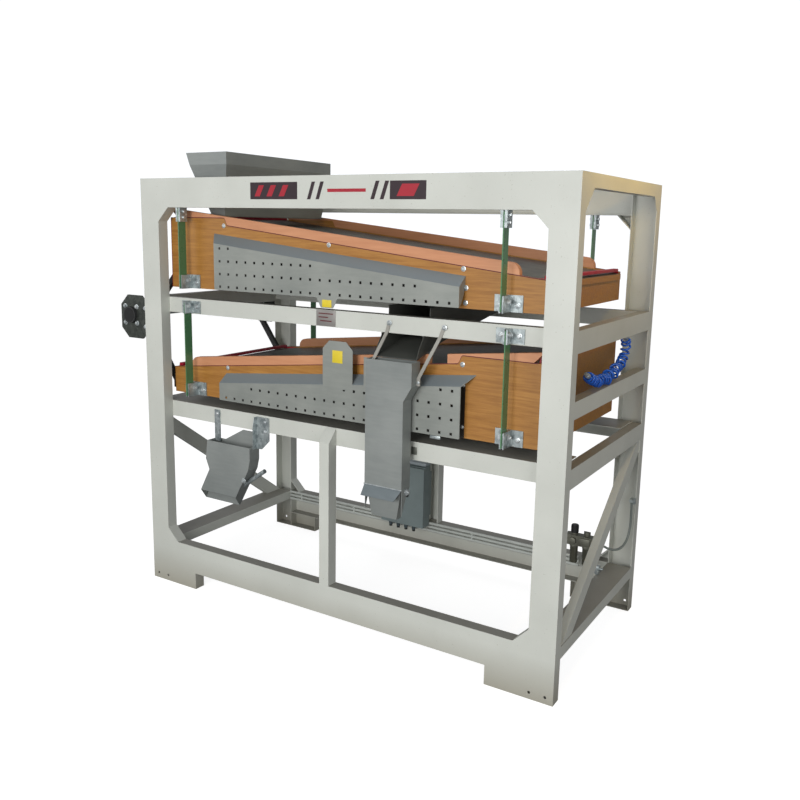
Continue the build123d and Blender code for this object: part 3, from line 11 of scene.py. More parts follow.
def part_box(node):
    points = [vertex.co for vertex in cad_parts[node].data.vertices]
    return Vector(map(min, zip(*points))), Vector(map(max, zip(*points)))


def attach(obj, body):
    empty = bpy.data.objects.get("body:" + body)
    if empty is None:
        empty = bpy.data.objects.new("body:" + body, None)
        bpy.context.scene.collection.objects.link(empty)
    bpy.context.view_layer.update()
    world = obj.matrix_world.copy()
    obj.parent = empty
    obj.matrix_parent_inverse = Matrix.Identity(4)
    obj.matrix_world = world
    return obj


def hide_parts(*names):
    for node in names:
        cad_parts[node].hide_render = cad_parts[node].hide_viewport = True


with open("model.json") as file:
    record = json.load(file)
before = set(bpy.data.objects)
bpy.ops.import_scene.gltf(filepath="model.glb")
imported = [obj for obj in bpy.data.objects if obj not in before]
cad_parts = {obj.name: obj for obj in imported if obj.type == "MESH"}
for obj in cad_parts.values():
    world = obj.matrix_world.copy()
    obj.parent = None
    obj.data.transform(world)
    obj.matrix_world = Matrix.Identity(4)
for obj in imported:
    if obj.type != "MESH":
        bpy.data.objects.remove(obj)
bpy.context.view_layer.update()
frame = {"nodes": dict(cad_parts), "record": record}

# The frame's outer left front foot is the corner that all lengths here are measured from, in millimetres
CORNER = Vector(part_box("front_posts")[0])
MM = 0.001
DEPTH = (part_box("rear_posts")[1][1] - CORNER.y) / MM


def at(x, y, z):
    """A point in metres from millimetres right of, behind and above the frame's corner."""
    return CORNER + Vector((x, y, z)) * MM


def low(node):
    """Lowest corner of a node, in millimetres from the frame's corner."""
    return (Vector(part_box(node)[0]) - CORNER) / MM


def high(node):
    """Highest corner of a node, in millimetres from the frame's corner."""
    return (Vector(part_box(node)[1]) - CORNER) / MM


# Places on the decks, read from their boards
DECK_FACE = low("upper_box_boards").y
DECK_BACK = high("upper_box_boards").y
LEFT, RIGHT = low("upper_box_boards").x, high("upper_box_boards").x
UPPER_BOTTOM = low("upper_box_boards").z
LOWER_BOTTOM = low("lower_box_boards").z
# Distance of the springs' middles from a deck's deep end
SPRINGS = (115.5, 1602.5)
# The two long sides of a deck, each with the way that leads out of it
DECK_SIDES = ((DECK_FACE, -1), (DECK_BACK, 1))
DECKS = ("upper", "lower")

CAMERA_PLACE = (2871.1, -2533.7, 1624.2)
CAMERA_TURN, CAMERA_TILT, CAMERA_ROLL = 31.507, 10.476, 1.0759
CAMERA_LENS = 37.66
CAMERA_SHIFT = -0.025


def place_camera():
    """Camera with the place, way and lens of the photograph's."""
    turn, tilt, roll = (math.radians(angle) for angle in (CAMERA_TURN, CAMERA_TILT, CAMERA_ROLL))
    forward = Vector((-math.sin(turn) * math.cos(tilt), math.cos(turn) * math.cos(tilt), -math.sin(tilt)))
    right = Vector((math.cos(turn), math.sin(turn), 0))
    up = right.cross(forward)
    level_right = right * math.cos(roll) + up * math.sin(roll)
    level_up = up * math.cos(roll) - right * math.sin(roll)
    lens = bpy.data.cameras.new("photo_camera")
    lens.lens = CAMERA_LENS
    lens.sensor_width = 36
    lens.shift_y = CAMERA_SHIFT
    lens.clip_end = 60
    camera = bpy.data.objects.new("photo_camera", lens)
    bpy.context.scene.collection.objects.link(camera)
    spin = Matrix((level_right, level_up, -forward)).transposed()
    camera.matrix_world = Matrix.Translation(at(*CAMERA_PLACE)) @ spin.to_4x4()
    bpy.context.scene.camera = camera


place_camera()


# Colours and finishes
def linear(channel):
    """One channel of 0 to 255, as the linear share that a shader takes."""
    share = channel / 255
    return share / 12.92 if channel <= 10 else ((share + 0.055) / 1.055) ** 2.4


def srgb(red, green, blue):
    """Colour as seen on a screen, turned to the linear values that a shader takes."""
    return linear(red), linear(green), linear(blue), 1


class Finish:
    """One material with its shader and the nodes that colour and roughen it."""

    def __init__(self, name):
        self.material = bpy.data.materials.new(name)
        self.material.use_nodes = True
        self.nodes = self.material.node_tree.nodes
        self.links = self.material.node_tree.links
        self.shader = self.nodes["Principled BSDF"]
        self.coordinates = self.nodes.new("ShaderNodeTexCoord")

    def noise(self, scale, stretch=(1, 1, 1), detail=4, roughness=0.5):
        place = self.nodes.new("ShaderNodeMapping")
        place.inputs["Scale"].default_value = stretch
        self.links.new(self.coordinates.outputs["Object"], place.inputs["Vector"])
        cloud = self.nodes.new("ShaderNodeTexNoise")
        cloud.inputs["Scale"].default_value = scale
        cloud.inputs["Detail"].default_value = detail
        cloud.inputs["Roughness"].default_value = roughness
        self.links.new(place.outputs["Vector"], cloud.inputs["Vector"])
        return cloud.outputs["Fac"]

    def ramp(self, value, stops):
        band = self.nodes.new("ShaderNodeValToRGB")
        band.color_ramp.elements[0].position = stops[0][0]
        band.color_ramp.elements[0].color = stops[0][1]
        band.color_ramp.elements[1].position = stops[-1][0]
        band.color_ramp.elements[1].color = stops[-1][1]
        for position, colour in stops[1:-1]:
            band.color_ramp.elements.new(position).color = colour
        self.links.new(value, band.inputs["Fac"])
        return band.outputs["Color"]

    def spread(self, value, lowest, highest, start=0.3, end=0.7):
        span = self.nodes.new("ShaderNodeMapRange")
        span.inputs["From Min"].default_value = start
        span.inputs["From Max"].default_value = end
        span.inputs["To Min"].default_value = lowest
        span.inputs["To Max"].default_value = highest
        self.links.new(value, span.inputs["Value"])
        return span.outputs["Result"]

    def mix(self, factor, first, second, blend="MIX"):
        node = self.nodes.new("ShaderNodeMix")
        node.data_type = "RGBA"
        node.blend_type = blend
        for socket, value in ((node.inputs["Factor"], factor), (node.inputs["A"], first),
                              (node.inputs["B"], second)):
            if isinstance(value, (tuple, float, int)):
                socket.default_value = value
            else:
                self.links.new(value, socket)
        return node.outputs["Result"]

    def colour(self, value):
        if isinstance(value, tuple):
            self.shader.inputs["Base Color"].default_value = value
        else:
            self.links.new(value, self.shader.inputs["Base Color"])

    def rough(self, value):
        if isinstance(value, (int, float)):
            self.shader.inputs["Roughness"].default_value = value
        else:
            self.links.new(value, self.shader.inputs["Roughness"])

    def metal(self, value):
        self.shader.inputs["Metallic"].default_value = value

    def bump(self, value, strength, distance=0.001):
        node = self.nodes.new("ShaderNodeBump")
        node.inputs["Strength"].default_value = strength
        node.inputs["Distance"].default_value = distance
        self.links.new(value, node.inputs["Height"])
        self.links.new(node.outputs["Normal"], self.shader.inputs["Normal"])

    def facing_up(self, start=0.35, end=0.6):
        """One on faces that look up, zero on upright ones."""
        surface = self.nodes.new("ShaderNodeNewGeometry")
        parts = self.nodes.new("ShaderNodeSeparateXYZ")
        self.links.new(surface.outputs["True Normal"], parts.inputs["Vector"])
        return self.spread(parts.outputs["Z"], 0, 1, start, end)

    def math(self, operation, first, second):
        node = self.nodes.new("ShaderNodeMath")
        node.operation = operation
        for socket, value in zip(node.inputs, (first, second)):
            if isinstance(value, (int, float)):
                socket.default_value = value
            else:
                self.links.new(value, socket)
        return node.outputs["Value"]

    def place(self):
        """The three object coordinates, in metres."""
        parts = self.nodes.new("ShaderNodeSeparateXYZ")
        self.links.new(self.coordinates.outputs["Object"], parts.inputs["Vector"])
        return parts.outputs["X"], parts.outputs["Y"], parts.outputs["Z"]

    def height_share(self, start, end):
        """Zero at one height above the floor, one at another, in metres."""
        return self.spread(self.place()[2], 0, 1, start, end)


def frame_paint():
    """Cream-grey gloss enamel with faint patches and spray texture, darker towards the floor, and painted
    shade, partly dust, on faces that look up.
    """
    finish = Finish("frame_paint")
    patches = finish.noise(3.5, detail=6)
    tone = finish.ramp(patches, ((0.3, srgb(195, 197, 189)), (0.7, srgb(206, 208, 200))))
    specks = finish.ramp(finish.noise(160, detail=3), ((0.70, (1, 1, 1, 1)), (0.74, srgb(188, 184, 168))))
    tone = finish.mix(0.6, tone, specks, "MULTIPLY")
    # Darker towards the floor: the colour is mixed to a darker grey below 0.16 metres
    darker_near_floor = finish.mix(finish.height_share(0.16, 0.0), tone, srgb(166, 163, 150))
    # Faces that look up are mixed to a darker grey: painted shade, partly dust, where less light falls on
    # them
    finish.colour(finish.mix(finish.facing_up(0.8, 0.95), darker_near_floor, srgb(140, 138, 130)))
    finish.rough(finish.spread(finish.noise(9, detail=3), 0.30, 0.45))
    finish.bump(finish.noise(420, detail=2), 0.05)
    return finish.material


def sheet_paint(name, light, dark, metal=0.25, top=None):
    """Metallic grey paint or bare sheet with a soft cloudy sheen, and where a top colour is given, a painted
    sky reflection on faces that look up.
    """
    finish = Finish(name)
    cloud = finish.noise(5, detail=5)
    streaks = finish.noise(14, stretch=(1, 1, 6), detail=4)
    tone = finish.ramp(cloud, ((0.3, dark), (0.7, light)))
    tone = finish.mix(0.25, tone, finish.ramp(streaks, ((0.35, dark), (0.65, light))))
    # A top colour is a painted reflection of the sky, mixed in on faces that look up
    if top:
        tone = finish.mix(finish.facing_up(), tone, top)
    finish.colour(tone)
    finish.metal(metal)
    finish.rough(finish.spread(cloud, 0.36, 0.50))
    finish.bump(finish.noise(300, detail=2), 0.04)
    return finish.material


def zinc(name, light, dark):
    """Bright zinc plating with a faint crystalline blotch."""
    finish = Finish(name)
    crystal = finish.nodes.new("ShaderNodeTexVoronoi")
    crystal.inputs["Scale"].default_value = 90
    finish.links.new(finish.coordinates.outputs["Object"], crystal.inputs["Vector"])
    blotch = finish.mix(0.5, finish.noise(30, detail=4), crystal.outputs["Color"])
    finish.colour(finish.ramp(blotch, ((0.25, srgb(*dark)), (0.75, srgb(*light)))))
    finish.metal(0.7)
    finish.rough(finish.spread(finish.noise(40), 0.28, 0.45))
    finish.bump(finish.noise(200), 0.05)
    return finish.material


# Unlit part of a deck's boards behind its guard, in metres: length, top at the deep end, fall per metre
SHADE_LENGTH, SHADE_TOP, SHADE_FALL = 1.130, 0.196, 0.1026


def varnished_wood(deck):
    """Ochre plywood: long fine level grain and a satin varnish, unlit behind the guards."""
    finish = Finish("varnished_wood")
    long_grain = finish.noise(11, stretch=(0.35, 6, 9), detail=8, roughness=0.62)
    fine_grain = finish.noise(70, stretch=(0.12, 1, 1.6), detail=5, roughness=0.7)
    tone = finish.ramp(long_grain, ((0.30, srgb(160, 110, 46)), (0.50, srgb(172, 120, 52)),
                                    (0.72, srgb(184, 132, 62))))
    fleck = finish.ramp(fine_grain, ((0.38, srgb(186, 150, 106)), (0.60, srgb(255, 252, 246))))
    tone = finish.mix(0.35, tone, fleck, "MULTIPLY")
    x, _, z = finish.place()
    if deck == "upper":
        start, way, bottom = at(LEFT + 262, 0, 0).x, 1, UPPER_BOTTOM * MM
    else:
        start, way, bottom = at(RIGHT - 292, 0, 0).x, -1, LOWER_BOTTOM * MM
    along = finish.math("MULTIPLY", finish.math("SUBTRACT", x, start), way)
    fall = finish.math("MULTIPLY", along, SHADE_FALL)
    edge = finish.math("ADD", finish.math("SUBTRACT", z, bottom), fall)
    begun = finish.math("GREATER_THAN", along, 0)
    inside = finish.math("MULTIPLY", begun, finish.math("LESS_THAN", along, SHADE_LENGTH))
    inside = finish.math("MULTIPLY", inside, finish.math("LESS_THAN", edge, SHADE_TOP))
    finish.colour(finish.mix(inside, tone, srgb(42, 36, 28)))
    finish.rough(finish.spread(long_grain, 0.38, 0.52))
    finish.shader.inputs["Coat Weight"].default_value = 0.08
    finish.shader.inputs["Coat Roughness"].default_value = 0.3
    finish.bump(fine_grain, 0.12, 0.0006)
    return finish.material


def clamp_wood():
    """Salmon hardwood boards with a close grain along their length."""
    finish = Finish("clamp_wood")
    grain = finish.noise(40, stretch=(0.12, 1, 1.5), detail=7, roughness=0.6)
    patches = finish.noise(4, stretch=(0.5, 1, 1), detail=3)
    tone = finish.ramp(grain, ((0.3, srgb(188, 126, 88)), (0.7, srgb(210, 150, 110))))
    finish.colour(finish.mix(0.3, tone, finish.ramp(patches, ((0.3, srgb(190, 126, 86)),
                                                             (0.7, srgb(212, 154, 114))))))
    finish.rough(0.5)
    finish.bump(grain, 0.1, 0.0006)
    return finish.material


def sieve_steel():
    """Dark sieve plate with close rows of round holes."""
    finish = Finish("sieve_steel")
    place = finish.nodes.new("ShaderNodeMapping")
    place.inputs["Scale"].default_value = (125, 125, 0)
    finish.links.new(finish.coordinates.outputs["Object"], place.inputs["Vector"])
    cell = finish.nodes.new("ShaderNodeVectorMath")
    cell.operation = "FRACTION"
    finish.links.new(place.outputs["Vector"], cell.inputs[0])
    reach = finish.nodes.new("ShaderNodeVectorMath")
    reach.operation = "DISTANCE"
    reach.inputs[1].default_value = (0.5, 0.5, 0)
    finish.links.new(cell.outputs["Vector"], reach.inputs[0])
    hole = finish.spread(reach.outputs["Value"], 1, 0, 0.30, 0.36)
    plate = finish.ramp(finish.noise(12, detail=5), ((0.3, srgb(96, 98, 96)), (0.7, srgb(128, 130, 126))))
    finish.colour(finish.mix(hole, plate, srgb(24, 25, 24)))
    finish.metal(0.5)
    finish.rough(0.45)
    finish.bump(hole, -0.4, 0.0008)
    return finish.material


def plain(name, tone, rough, metal=0.0, mottle=0.06, coat=0.0, grain=250, strength=0.05):
    """One moulded or painted colour with slight tonal drift and a fine surface."""
    finish = Finish(name)
    base = srgb(*tone)
    dark = srgb(*[c * (1 - mottle) for c in tone])
    finish.colour(finish.ramp(finish.noise(12, detail=4), ((0.3, dark), (0.7, base))))
    finish.metal(metal)
    finish.rough(finish.spread(finish.noise(25), rough - 0.05, rough + 0.05))
    finish.shader.inputs["Coat Weight"].default_value = coat
    finish.bump(finish.noise(grain, detail=2), strength)
    return finish.material


FINISHES = {
    "frame_paint": frame_paint(),
    "zinc": zinc("zinc", (200, 208, 208), (140, 150, 152)),
    "chute_grey": sheet_paint("chute_grey", srgb(148, 152, 149), srgb(130, 135, 133)),
    "sheet_grey": sheet_paint("sheet_grey", srgb(130, 132, 124), srgb(106, 108, 101), metal=0.5),
    "dark_iron": plain("dark_iron", (58, 58, 58), 0.5, metal=0.3),
    "motor_grey": plain("motor_grey", (92, 98, 106), 0.45),
    "black_rubber": plain("black_rubber", (26, 26, 26), 0.75),
    "box_grey": plain("box_grey", (122, 134, 134), 0.5, grain=500, strength=0.12),
    "black_plastic": plain("black_plastic", (30, 30, 30), 0.45),
    "cast_alloy": plain("cast_alloy", (120, 120, 108), 0.5, metal=0.5, mottle=0.2),
    "clear_bowl": plain("clear_bowl", (70, 70, 60), 0.15, coat=0.6),
    "blue_hose": plain("blue_hose", (26, 100, 214), 0.25, coat=0.4),
    "grey_tube": plain("grey_tube", (118, 126, 122), 0.4),
    "varnished_wood": varnished_wood("upper"),
    "varnished_wood_lower": varnished_wood("lower"),
    "clamp_wood": clamp_wood(),
    "sieve_steel": sieve_steel(),
    # The guards' bluish top colour is a painted sky reflection on their sloped tops
    "guard_grey": sheet_paint("guard_grey", srgb(154, 157, 151), srgb(138, 142, 137),
                              top=srgb(132, 142, 146)),
    "zinc_bright": zinc("zinc_bright", (222, 226, 226), (168, 176, 178)),
    "dark_red": plain("dark_red", (96, 26, 34), 0.6),
    "red_lining": plain("red_lining", (170, 22, 48), 0.45),
    "yellow_patch": plain("yellow_patch", (228, 204, 52), 0.4),
    "plate_grey": plain("plate_grey", (150, 146, 142), 0.4, metal=0.4),
    "band_dark": plain("band_dark", (44, 26, 34), 0.55),
    "band_red": plain("band_red", (170, 24, 44), 0.55),
    # The collecting trough's sheet is darker than the chute's: painted shade for its hollow interior
    "trough_painted_shade": sheet_paint("trough_painted_shade", srgb(96, 98, 92), srgb(80, 82, 78)),
    "spring_green": plain("spring_green", (80, 130, 88), 0.3, coat=0.2),
    "plate_dark": zinc("plate_dark", (96, 100, 94), (70, 74, 70)),
    "hood_grey": plain("hood_grey", (150, 160, 164), 0.45),
    "gland_grey": plain("gland_grey", (74, 84, 88), 0.4),
    "strap_grey": plain("strap_grey", (158, 156, 148), 0.5),
    "line_grey": plain("line_grey", (196, 200, 194), 0.35, coat=0.2),
    "flap_grey": sheet_paint("flap_grey", srgb(122, 131, 134), srgb(104, 113, 117)),
}

# Nodes whose finish isn't their slot's
NODE_FINISHES = {"lower_box_boards": "varnished_wood_lower", "collecting_trough": "trough_painted_shade",
                 "chute_straps": "strap_grey", "bearing_plates": "plate_dark", "air_lines": "line_grey",
                 "chute_flap": "flap_grey"}

for part in frame["record"]["subparts"]:
    node = frame["nodes"][part["node"]]
    finish = FINISHES[NODE_FINISHES.get(part["node"], part["material_slot"])]
    if node.material_slots:
        for material_slot in node.material_slots:
            material_slot.material = finish
    else:
        node.data.materials.append(finish)


# Thickness of a bolt's washer, and a hexagon's width across its flats for each unit of its radius
WASHER = 1.6
ACROSS_TO_RADIUS = 1.732


def edges_of(corners):
    """Edges that meet at some corners, each once."""
    return list(dict.fromkeys(edge for corner in corners for edge in corner.link_edges))


class Shape:
    """One new mesh, drawn in millimetres from the frame's corner."""

    def __init__(self):
        self.mesh = bmesh.new()

    def box(self, x1, x2, y1, y2, z1, z2, round_edge=0):
        made = bmesh.ops.create_cube(self.mesh, size=1)["verts"]
        for corner in made:
            share = corner.co + Vector((0.5, 0.5, 0.5))
            corner.co = at(x1 + share.x * (x2 - x1), y1 + share.y * (y2 - y1), z1 + share.z * (z2 - z1))
        if round_edge:
            self.bevel(edges_of(made), round_edge)

    def bevel(self, edges, width):
        bmesh.ops.bevel(self.mesh, geom=edges, offset=width * MM, offset_type="OFFSET", segments=2,
                        profile=0.5, affect="EDGES", material=-1)

    def rod(self, start, end, radius, sides=24, tip=None, turn=0, round_edge=0):
        """Round or many-sided bar between two points, tapered to the tip radius where one is given."""
        first, last = at(*start), at(*end)
        way = last - first
        place = Matrix.Translation((first + last) / 2) @ way.to_track_quat("Z", "Y").to_matrix().to_4x4()
        made = bmesh.ops.create_cone(self.mesh, cap_ends=True, segments=sides, radius1=radius * MM,
                                     radius2=(radius if tip is None else tip) * MM, depth=way.length,
                                     matrix=place @ Matrix.Rotation(turn, 4, "Z"))["verts"]
        if round_edge:
            rims = [edge for edge in edges_of(made)
                    if len([face for face in edge.link_faces if len(face.verts) > 4]) == 1]
            self.bevel(rims, round_edge)

    def upright(self, x, y, z1, z2, radius, sides, **more):
        self.rod((x, y, z1), (x, y, z2), radius, sides, **more)

    def plate(self, points, depth):
        """Flat outline pushed through a depth, both in millimetres."""
        near = [self.mesh.verts.new(at(*point)) for point in points]
        far = [self.mesh.verts.new(corner.co + Vector(depth) * MM) for corner in near]
        self.mesh.faces.new(near)
        self.mesh.faces.new(far[::-1])
        for index in range(len(near)):
            self.mesh.faces.new((near[index - 1], near[index], far[index], far[index - 1]))

    def washer_bolt(self, centre, way, across, washer, head=6):
        """Washer, hexagon head and thread end that stand out from a face along a way."""
        start = Vector(centre)
        step = Vector(way)
        seat = start + step * WASHER
        top = start + step * (WASHER + head)
        self.rod(start, seat, washer, 28, round_edge=0.3)
        self.rod(seat, top, across / ACROSS_TO_RADIUS, 6, turn=0.3, round_edge=0.5)
        self.rod(top, start + step * (WASHER + 2 + head), across / 3.2, 16)

    def lug_pin(self, spot):
        """Pin through two lugs with a washer and a nut outside each, where spot gives a point along it."""
        self.rod(spot(-19), spot(19), 5, 16)
        for side in (-1, 1):
            self.rod(spot(side * 9), spot(side * 10.5), 11, 24)
            self.rod(spot(side * 10.5), spot(side * 17), 8, 6, turn=0.2, round_edge=0.5)

    def dome_screw(self, centre, way, radius):
        """Washer and low domed head."""
        start = Vector(centre)
        step = Vector(way)
        self.rod(start, start + step * 1.5, radius * 1.45, 28, round_edge=0.3)
        self.rod(start + step * 1.5, start + step * 3.2, radius, 24)
        self.rod(start + step * 3.2, start + step * 5.2, radius, 24, tip=radius * 0.55)

    def in_order(self):
        """Corners and faces sorted by place, since a bevel leaves them in another order on each run."""
        corners = sorted(self.mesh.verts, key=lambda corner: tuple(corner.co))
        numbers = {corner: number for number, corner in enumerate(corners)}
        points = [tuple(corner.co) for corner in corners]
        faces = []
        for face in self.mesh.faces:
            loop = [numbers[corner] for corner in face.verts]
            start = loop.index(min(loop))
            faces.append(loop[start:] + loop[:start])
        faces.sort(key=lambda loop: [points[number] for number in loop])
        return points, faces

    def done(self, name, body, finish, smooth=True):
        bmesh.ops.recalc_face_normals(self.mesh, faces=self.mesh.faces)
        points, faces = self.in_order()
        self.mesh.free()
        mesh = bpy.data.meshes.new(name)
        mesh.from_pydata(points, [], faces)
        mesh.materials.append(finish)
        if smooth:
            mesh.shade_smooth()
            mesh.set_sharp_from_angle(angle=math.radians(32))
        holder = bpy.data.objects.new(name, mesh)
        bpy.context.scene.collection.objects.link(holder)
        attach(holder, body)


def box_piece(name, body, finish, *sizes):
    """Piece that is one box."""
    piece = Shape()
    piece.box(*sizes)
    piece.done(name, body, FINISHES[finish])


def deck_point(deck, along, across, height):
    """Frame millimetres of a point on a deck, from its deep end, its own front and its bottom."""
    if deck == "upper":
        return LEFT + along, across, UPPER_BOTTOM + height
    return RIGHT - along, DEPTH - across, LOWER_BOTTOM + height


def deck_way(deck, way):
    """A way as the deck has it: the lower deck is turned half round."""
    turn = 1 if deck == "upper" else -1
    return way[0] * turn, way[1] * turn, way[2]


def deck_box(shape, deck, first, last, round_edge=0):
    """Box between two corners, each given along, across and above the bottom of a deck."""
    x1, y1, z1 = deck_point(deck, *first)
    x2, y2, z2 = deck_point(deck, *last)
    shape.box(*sorted((x1, x2)), *sorted((y1, y2)), z1, z2, round_edge)


# Spring brackets: plate thickness, shift of the bolts from the middle, reach from plate to lug pin,
# heights of bolts and pin above a deck's bottom, and on the middle beams above the frame's corner
BRACKET_PLATE = 5
BOLT_SHIFT = 34
LUG_REACH = 24
DECK_BOLT_HEIGHT, DECK_PIN_HEIGHT = 24, 36
BEAM_BOLT_HEIGHT, BEAM_PIN_HEIGHT = 1266, 1272
MID_BEAM_FACE = 45
# Clamps under the top beams: middle of the beam, half the clamp's thickness, heights of the bolts
TOP_BEAM_MIDDLE = 25
CLAMP_HALF = 12.6
CLAMP_BOLT_HEIGHTS = (1640, 1664)
# Screws of the side boards, along the deck and above its bottom
BOARD_SCREWS = ((307, 266), (845, 203), (1425, 137), (1437, 72), (1437, 20))
SMALL_SCREWS = ((300, 193), (300, 40))

# Bolts of the spring brackets, in the decks, on the middle beams and under the top beams
for deck in DECKS:
    bolts = Shape()
    screws = Shape()
    for along in SPRINGS:
        for across, out in DECK_SIDES:
            face = across + out * BRACKET_PLATE
            way = deck_way(deck, (0, out, 0))
            for shift in (-BOLT_SHIFT, BOLT_SHIFT):
                bolts.washer_bolt(deck_point(deck, along + shift, face, DECK_BOLT_HEIGHT), way, 13, 10)
            lug = face + out * LUG_REACH
            bolts.lug_pin(lambda shift: deck_point(deck, along + shift, lug, DECK_PIN_HEIGHT))
    bolts.done(deck + "_bracket_bolts", deck + "_deck", FINISHES["zinc_bright"])
    for across, out in DECK_SIDES:
        way = deck_way(deck, (0, out, 0))
        for along, height in BOARD_SCREWS:
            screws.dome_screw(deck_point(deck, along, across, height), way, 6.5)
        for along, height in SMALL_SCREWS:
            screws.dome_screw(deck_point(deck, along, across, height), way, 5)
    screws.done(deck + "_board_screws", deck + "_deck", FINISHES["zinc_bright"])

hanger_bolts = Shape()
for along in SPRINGS:
    x = RIGHT - along
    for face, out in ((MID_BEAM_FACE, -1), (DEPTH - MID_BEAM_FACE, 1)):
        for shift in (-BOLT_SHIFT, BOLT_SHIFT):
            hanger_bolts.washer_bolt((x + shift, face, BEAM_BOLT_HEIGHT), (0, out, 0), 13, 10)
        lug = face + out * LUG_REACH
        hanger_bolts.lug_pin(lambda shift: (x + shift, lug, BEAM_PIN_HEIGHT))
    x = LEFT + along
    for middle in (TOP_BEAM_MIDDLE, DEPTH - TOP_BEAM_MIDDLE):
        for side in (-1, 1):
            start = x + side * CLAMP_HALF
            seat, top = start + side * WASHER, start + side * 7
            for height in CLAMP_BOLT_HEIGHTS:
                hanger_bolts.rod((start, middle, height), (seat, middle, height), 9, 24)
                hanger_bolts.rod((seat, middle, height), (top, middle, height), 6.5, 6, round_edge=0.5)
hanger_bolts.done("hanger_bolts", "frame", FINISHES["zinc_bright"])


# Seam between a deck's side boards and clamp boards: its bend, then a straight fall in equal steps
SEAM_BEND = ((22, 298), (305, 298), (309, 297), (312, 294), (316, 286), (320, 276), (324, 269), (328, 267))
SEAM_STEPS = 8
SEAM_LENGTH, SEAM_FALL = 1412, 155
FELT_HALF, FELT_DEPTH = 1.6, 0.5


def seam_points(deck, across):
    """Points of the seam on one long side of a deck, from its deep end."""
    along, height = SEAM_BEND[-1]
    line = list(SEAM_BEND)
    for step in range(1, SEAM_STEPS + 1):
        line.append((along + step * SEAM_LENGTH / SEAM_STEPS, height - step * SEAM_FALL / SEAM_STEPS))
    return [Vector(deck_point(deck, place, across, rise)) for place, rise in line]


# Dark felt in the seams, red linings at the decks' ends and outlets, wooden strips on their shallow ends
for deck in DECKS:
    felt = Shape()
    rise = Vector((0, 0, FELT_HALF))
    for across, out in DECK_SIDES:
        seam = seam_points(deck, across)
        for first, last in zip(seam, seam[1:]):
            corners = (first - rise, last - rise, last + rise, first + rise)
            felt.plate(corners, deck_way(deck, (0, out * FELT_DEPTH, 0)))
    felt.done(deck + "_seam_felt", deck + "_deck", FINISHES["dark_red"], smooth=False)
    lining = Shape()
    deck_box(lining, deck, (1716, DECK_FACE + 23, 114), (1738, DECK_BACK - 23, 126), 1.5)
    deck_box(lining, deck, (22.4, DECK_FACE + 23, 200), (27, DECK_BACK - 23, 318), 1)
    for across in (DECK_FACE + 22.3, DECK_BACK - 24.3):
        deck_box(lining, deck, (1637, across, 96), (1738, across + 2, 117))
    for across in (DECK_FACE - 0.4, DECK_BACK - 2.6):
        deck_box(lining, deck, (-0.4, across, 4), (1.6, across + 3, 296))
    lining.done(deck + "_red_lining", deck + "_deck", FINISHES["red_lining"])
    strip = Shape()
    deck_box(strip, deck, (1745.3, DECK_FACE + 22.5, 83), (1748.5, DECK_BACK - 22.5, 105))
    wood = FINISHES["varnished_wood" if deck == "upper" else "varnished_wood_lower"]
    strip.done(deck + "_end_strip", deck + "_deck", wood)

# Yellow patches on the two guard tabs, plates on the front beams, one of them with rows, and the guard's clip
box_piece("lower_tab_patch", "lower_deck", "yellow_patch", 994, 1042, 28.9, 29.8, 1102, 1150, 0.3)
box_piece("upper_tab_patch", "upper_deck", "yellow_patch", 945, 989, 28.9, 29.8, 1312, 1340, 0.3)
box_piece("beam_plate", "frame", "plate_grey", 903, 994, 48.2, 49.9, 1237, 1299, 0.5)
rows = Shape()
for row, (start, end) in enumerate(((914, 983), (914, 960), (922, 976))):
    rows.box(start, end, 47.8, 48.3, 1283 - row * 14, 1287 - row * 14)
rows.done("beam_plate_rows", "frame", FINISHES["dark_red"])
box_piece("low_beam_plate", "frame", "sheet_grey", 1343, 1367, 48.4, 49.9, 791, 820, 0.5)
box_piece("guard_end_clip", "lower_deck", "zinc", 1432, 1474, 28, 31.8, 870, 881, 0.5)

# Stripes just in front of the top beam's face: lowest and highest edge of the dark and of the red ones
DARK_STRIPES = (1713, 1777)
RED_STRIPES = (1724, 1766)
STRIPE_FACES = (-0.35, -0.02)
STRIPE_LEAN = 22


def slanted(shape, x, width, heights, y):
    """Bar that leans to the right, from one height to another."""
    first, last = heights
    shape.plate([(x, y, first), (x + width, y, first), (x + width + STRIPE_LEAN, y, last),
                 (x + STRIPE_LEAN, y, last)], (0, -0.3, 0))


# Two dark blocks and four dark bars, with red bars on the blocks and a red rule between them
band = Shape()
band.box(618, 850, *STRIPE_FACES, *DARK_STRIPES)
band.box(1262, 1409, *STRIPE_FACES, *DARK_STRIPES)
for x in (896, 936, 1180, 1220):
    slanted(band, x, 16, DARK_STRIPES, -0.05)
band.done("top_band_dark", "frame", FINISHES["band_dark"], smooth=False)
accent = Shape()
for x, width in ((640, 26), (700, 26), (760, 26), (1290, 70)):
    slanted(accent, x, width, RED_STRIPES, -0.45)
accent.box(990, 1160, *STRIPE_FACES, 1739, 1751)
accent.done("top_band_red", "frame", FINISHES["band_red"], smooth=False)

# Long chute: hinge pin of its flap, pivot bolts, screws of its straps
FLAP_PIN_Y = -41.5
flap_pin_z = high("chute_flap").z + 1
trim = Shape()
trim.rod((1193, FLAP_PIN_Y, flap_pin_z), (1359, FLAP_PIN_Y, flap_pin_z), 2.2, 12)
for x, out in ((1357, 1), (1195, -1)):
    trim.washer_bolt((x, -5, 660), (out, 0, 0), 17, 14, 9)
for x in (1240, 1470):
    trim.dome_screw((x, 45.5, 1272), (0, -1, 0), 7)
trim.dome_screw((1205, -5.4, 1112), (0, -1, 0), 4)
trim.dome_screw((1397, -5.4, 1074), (0, -1, 0), 4)
trim.done("chute_trim", "frame", FINISHES["zinc_bright"])

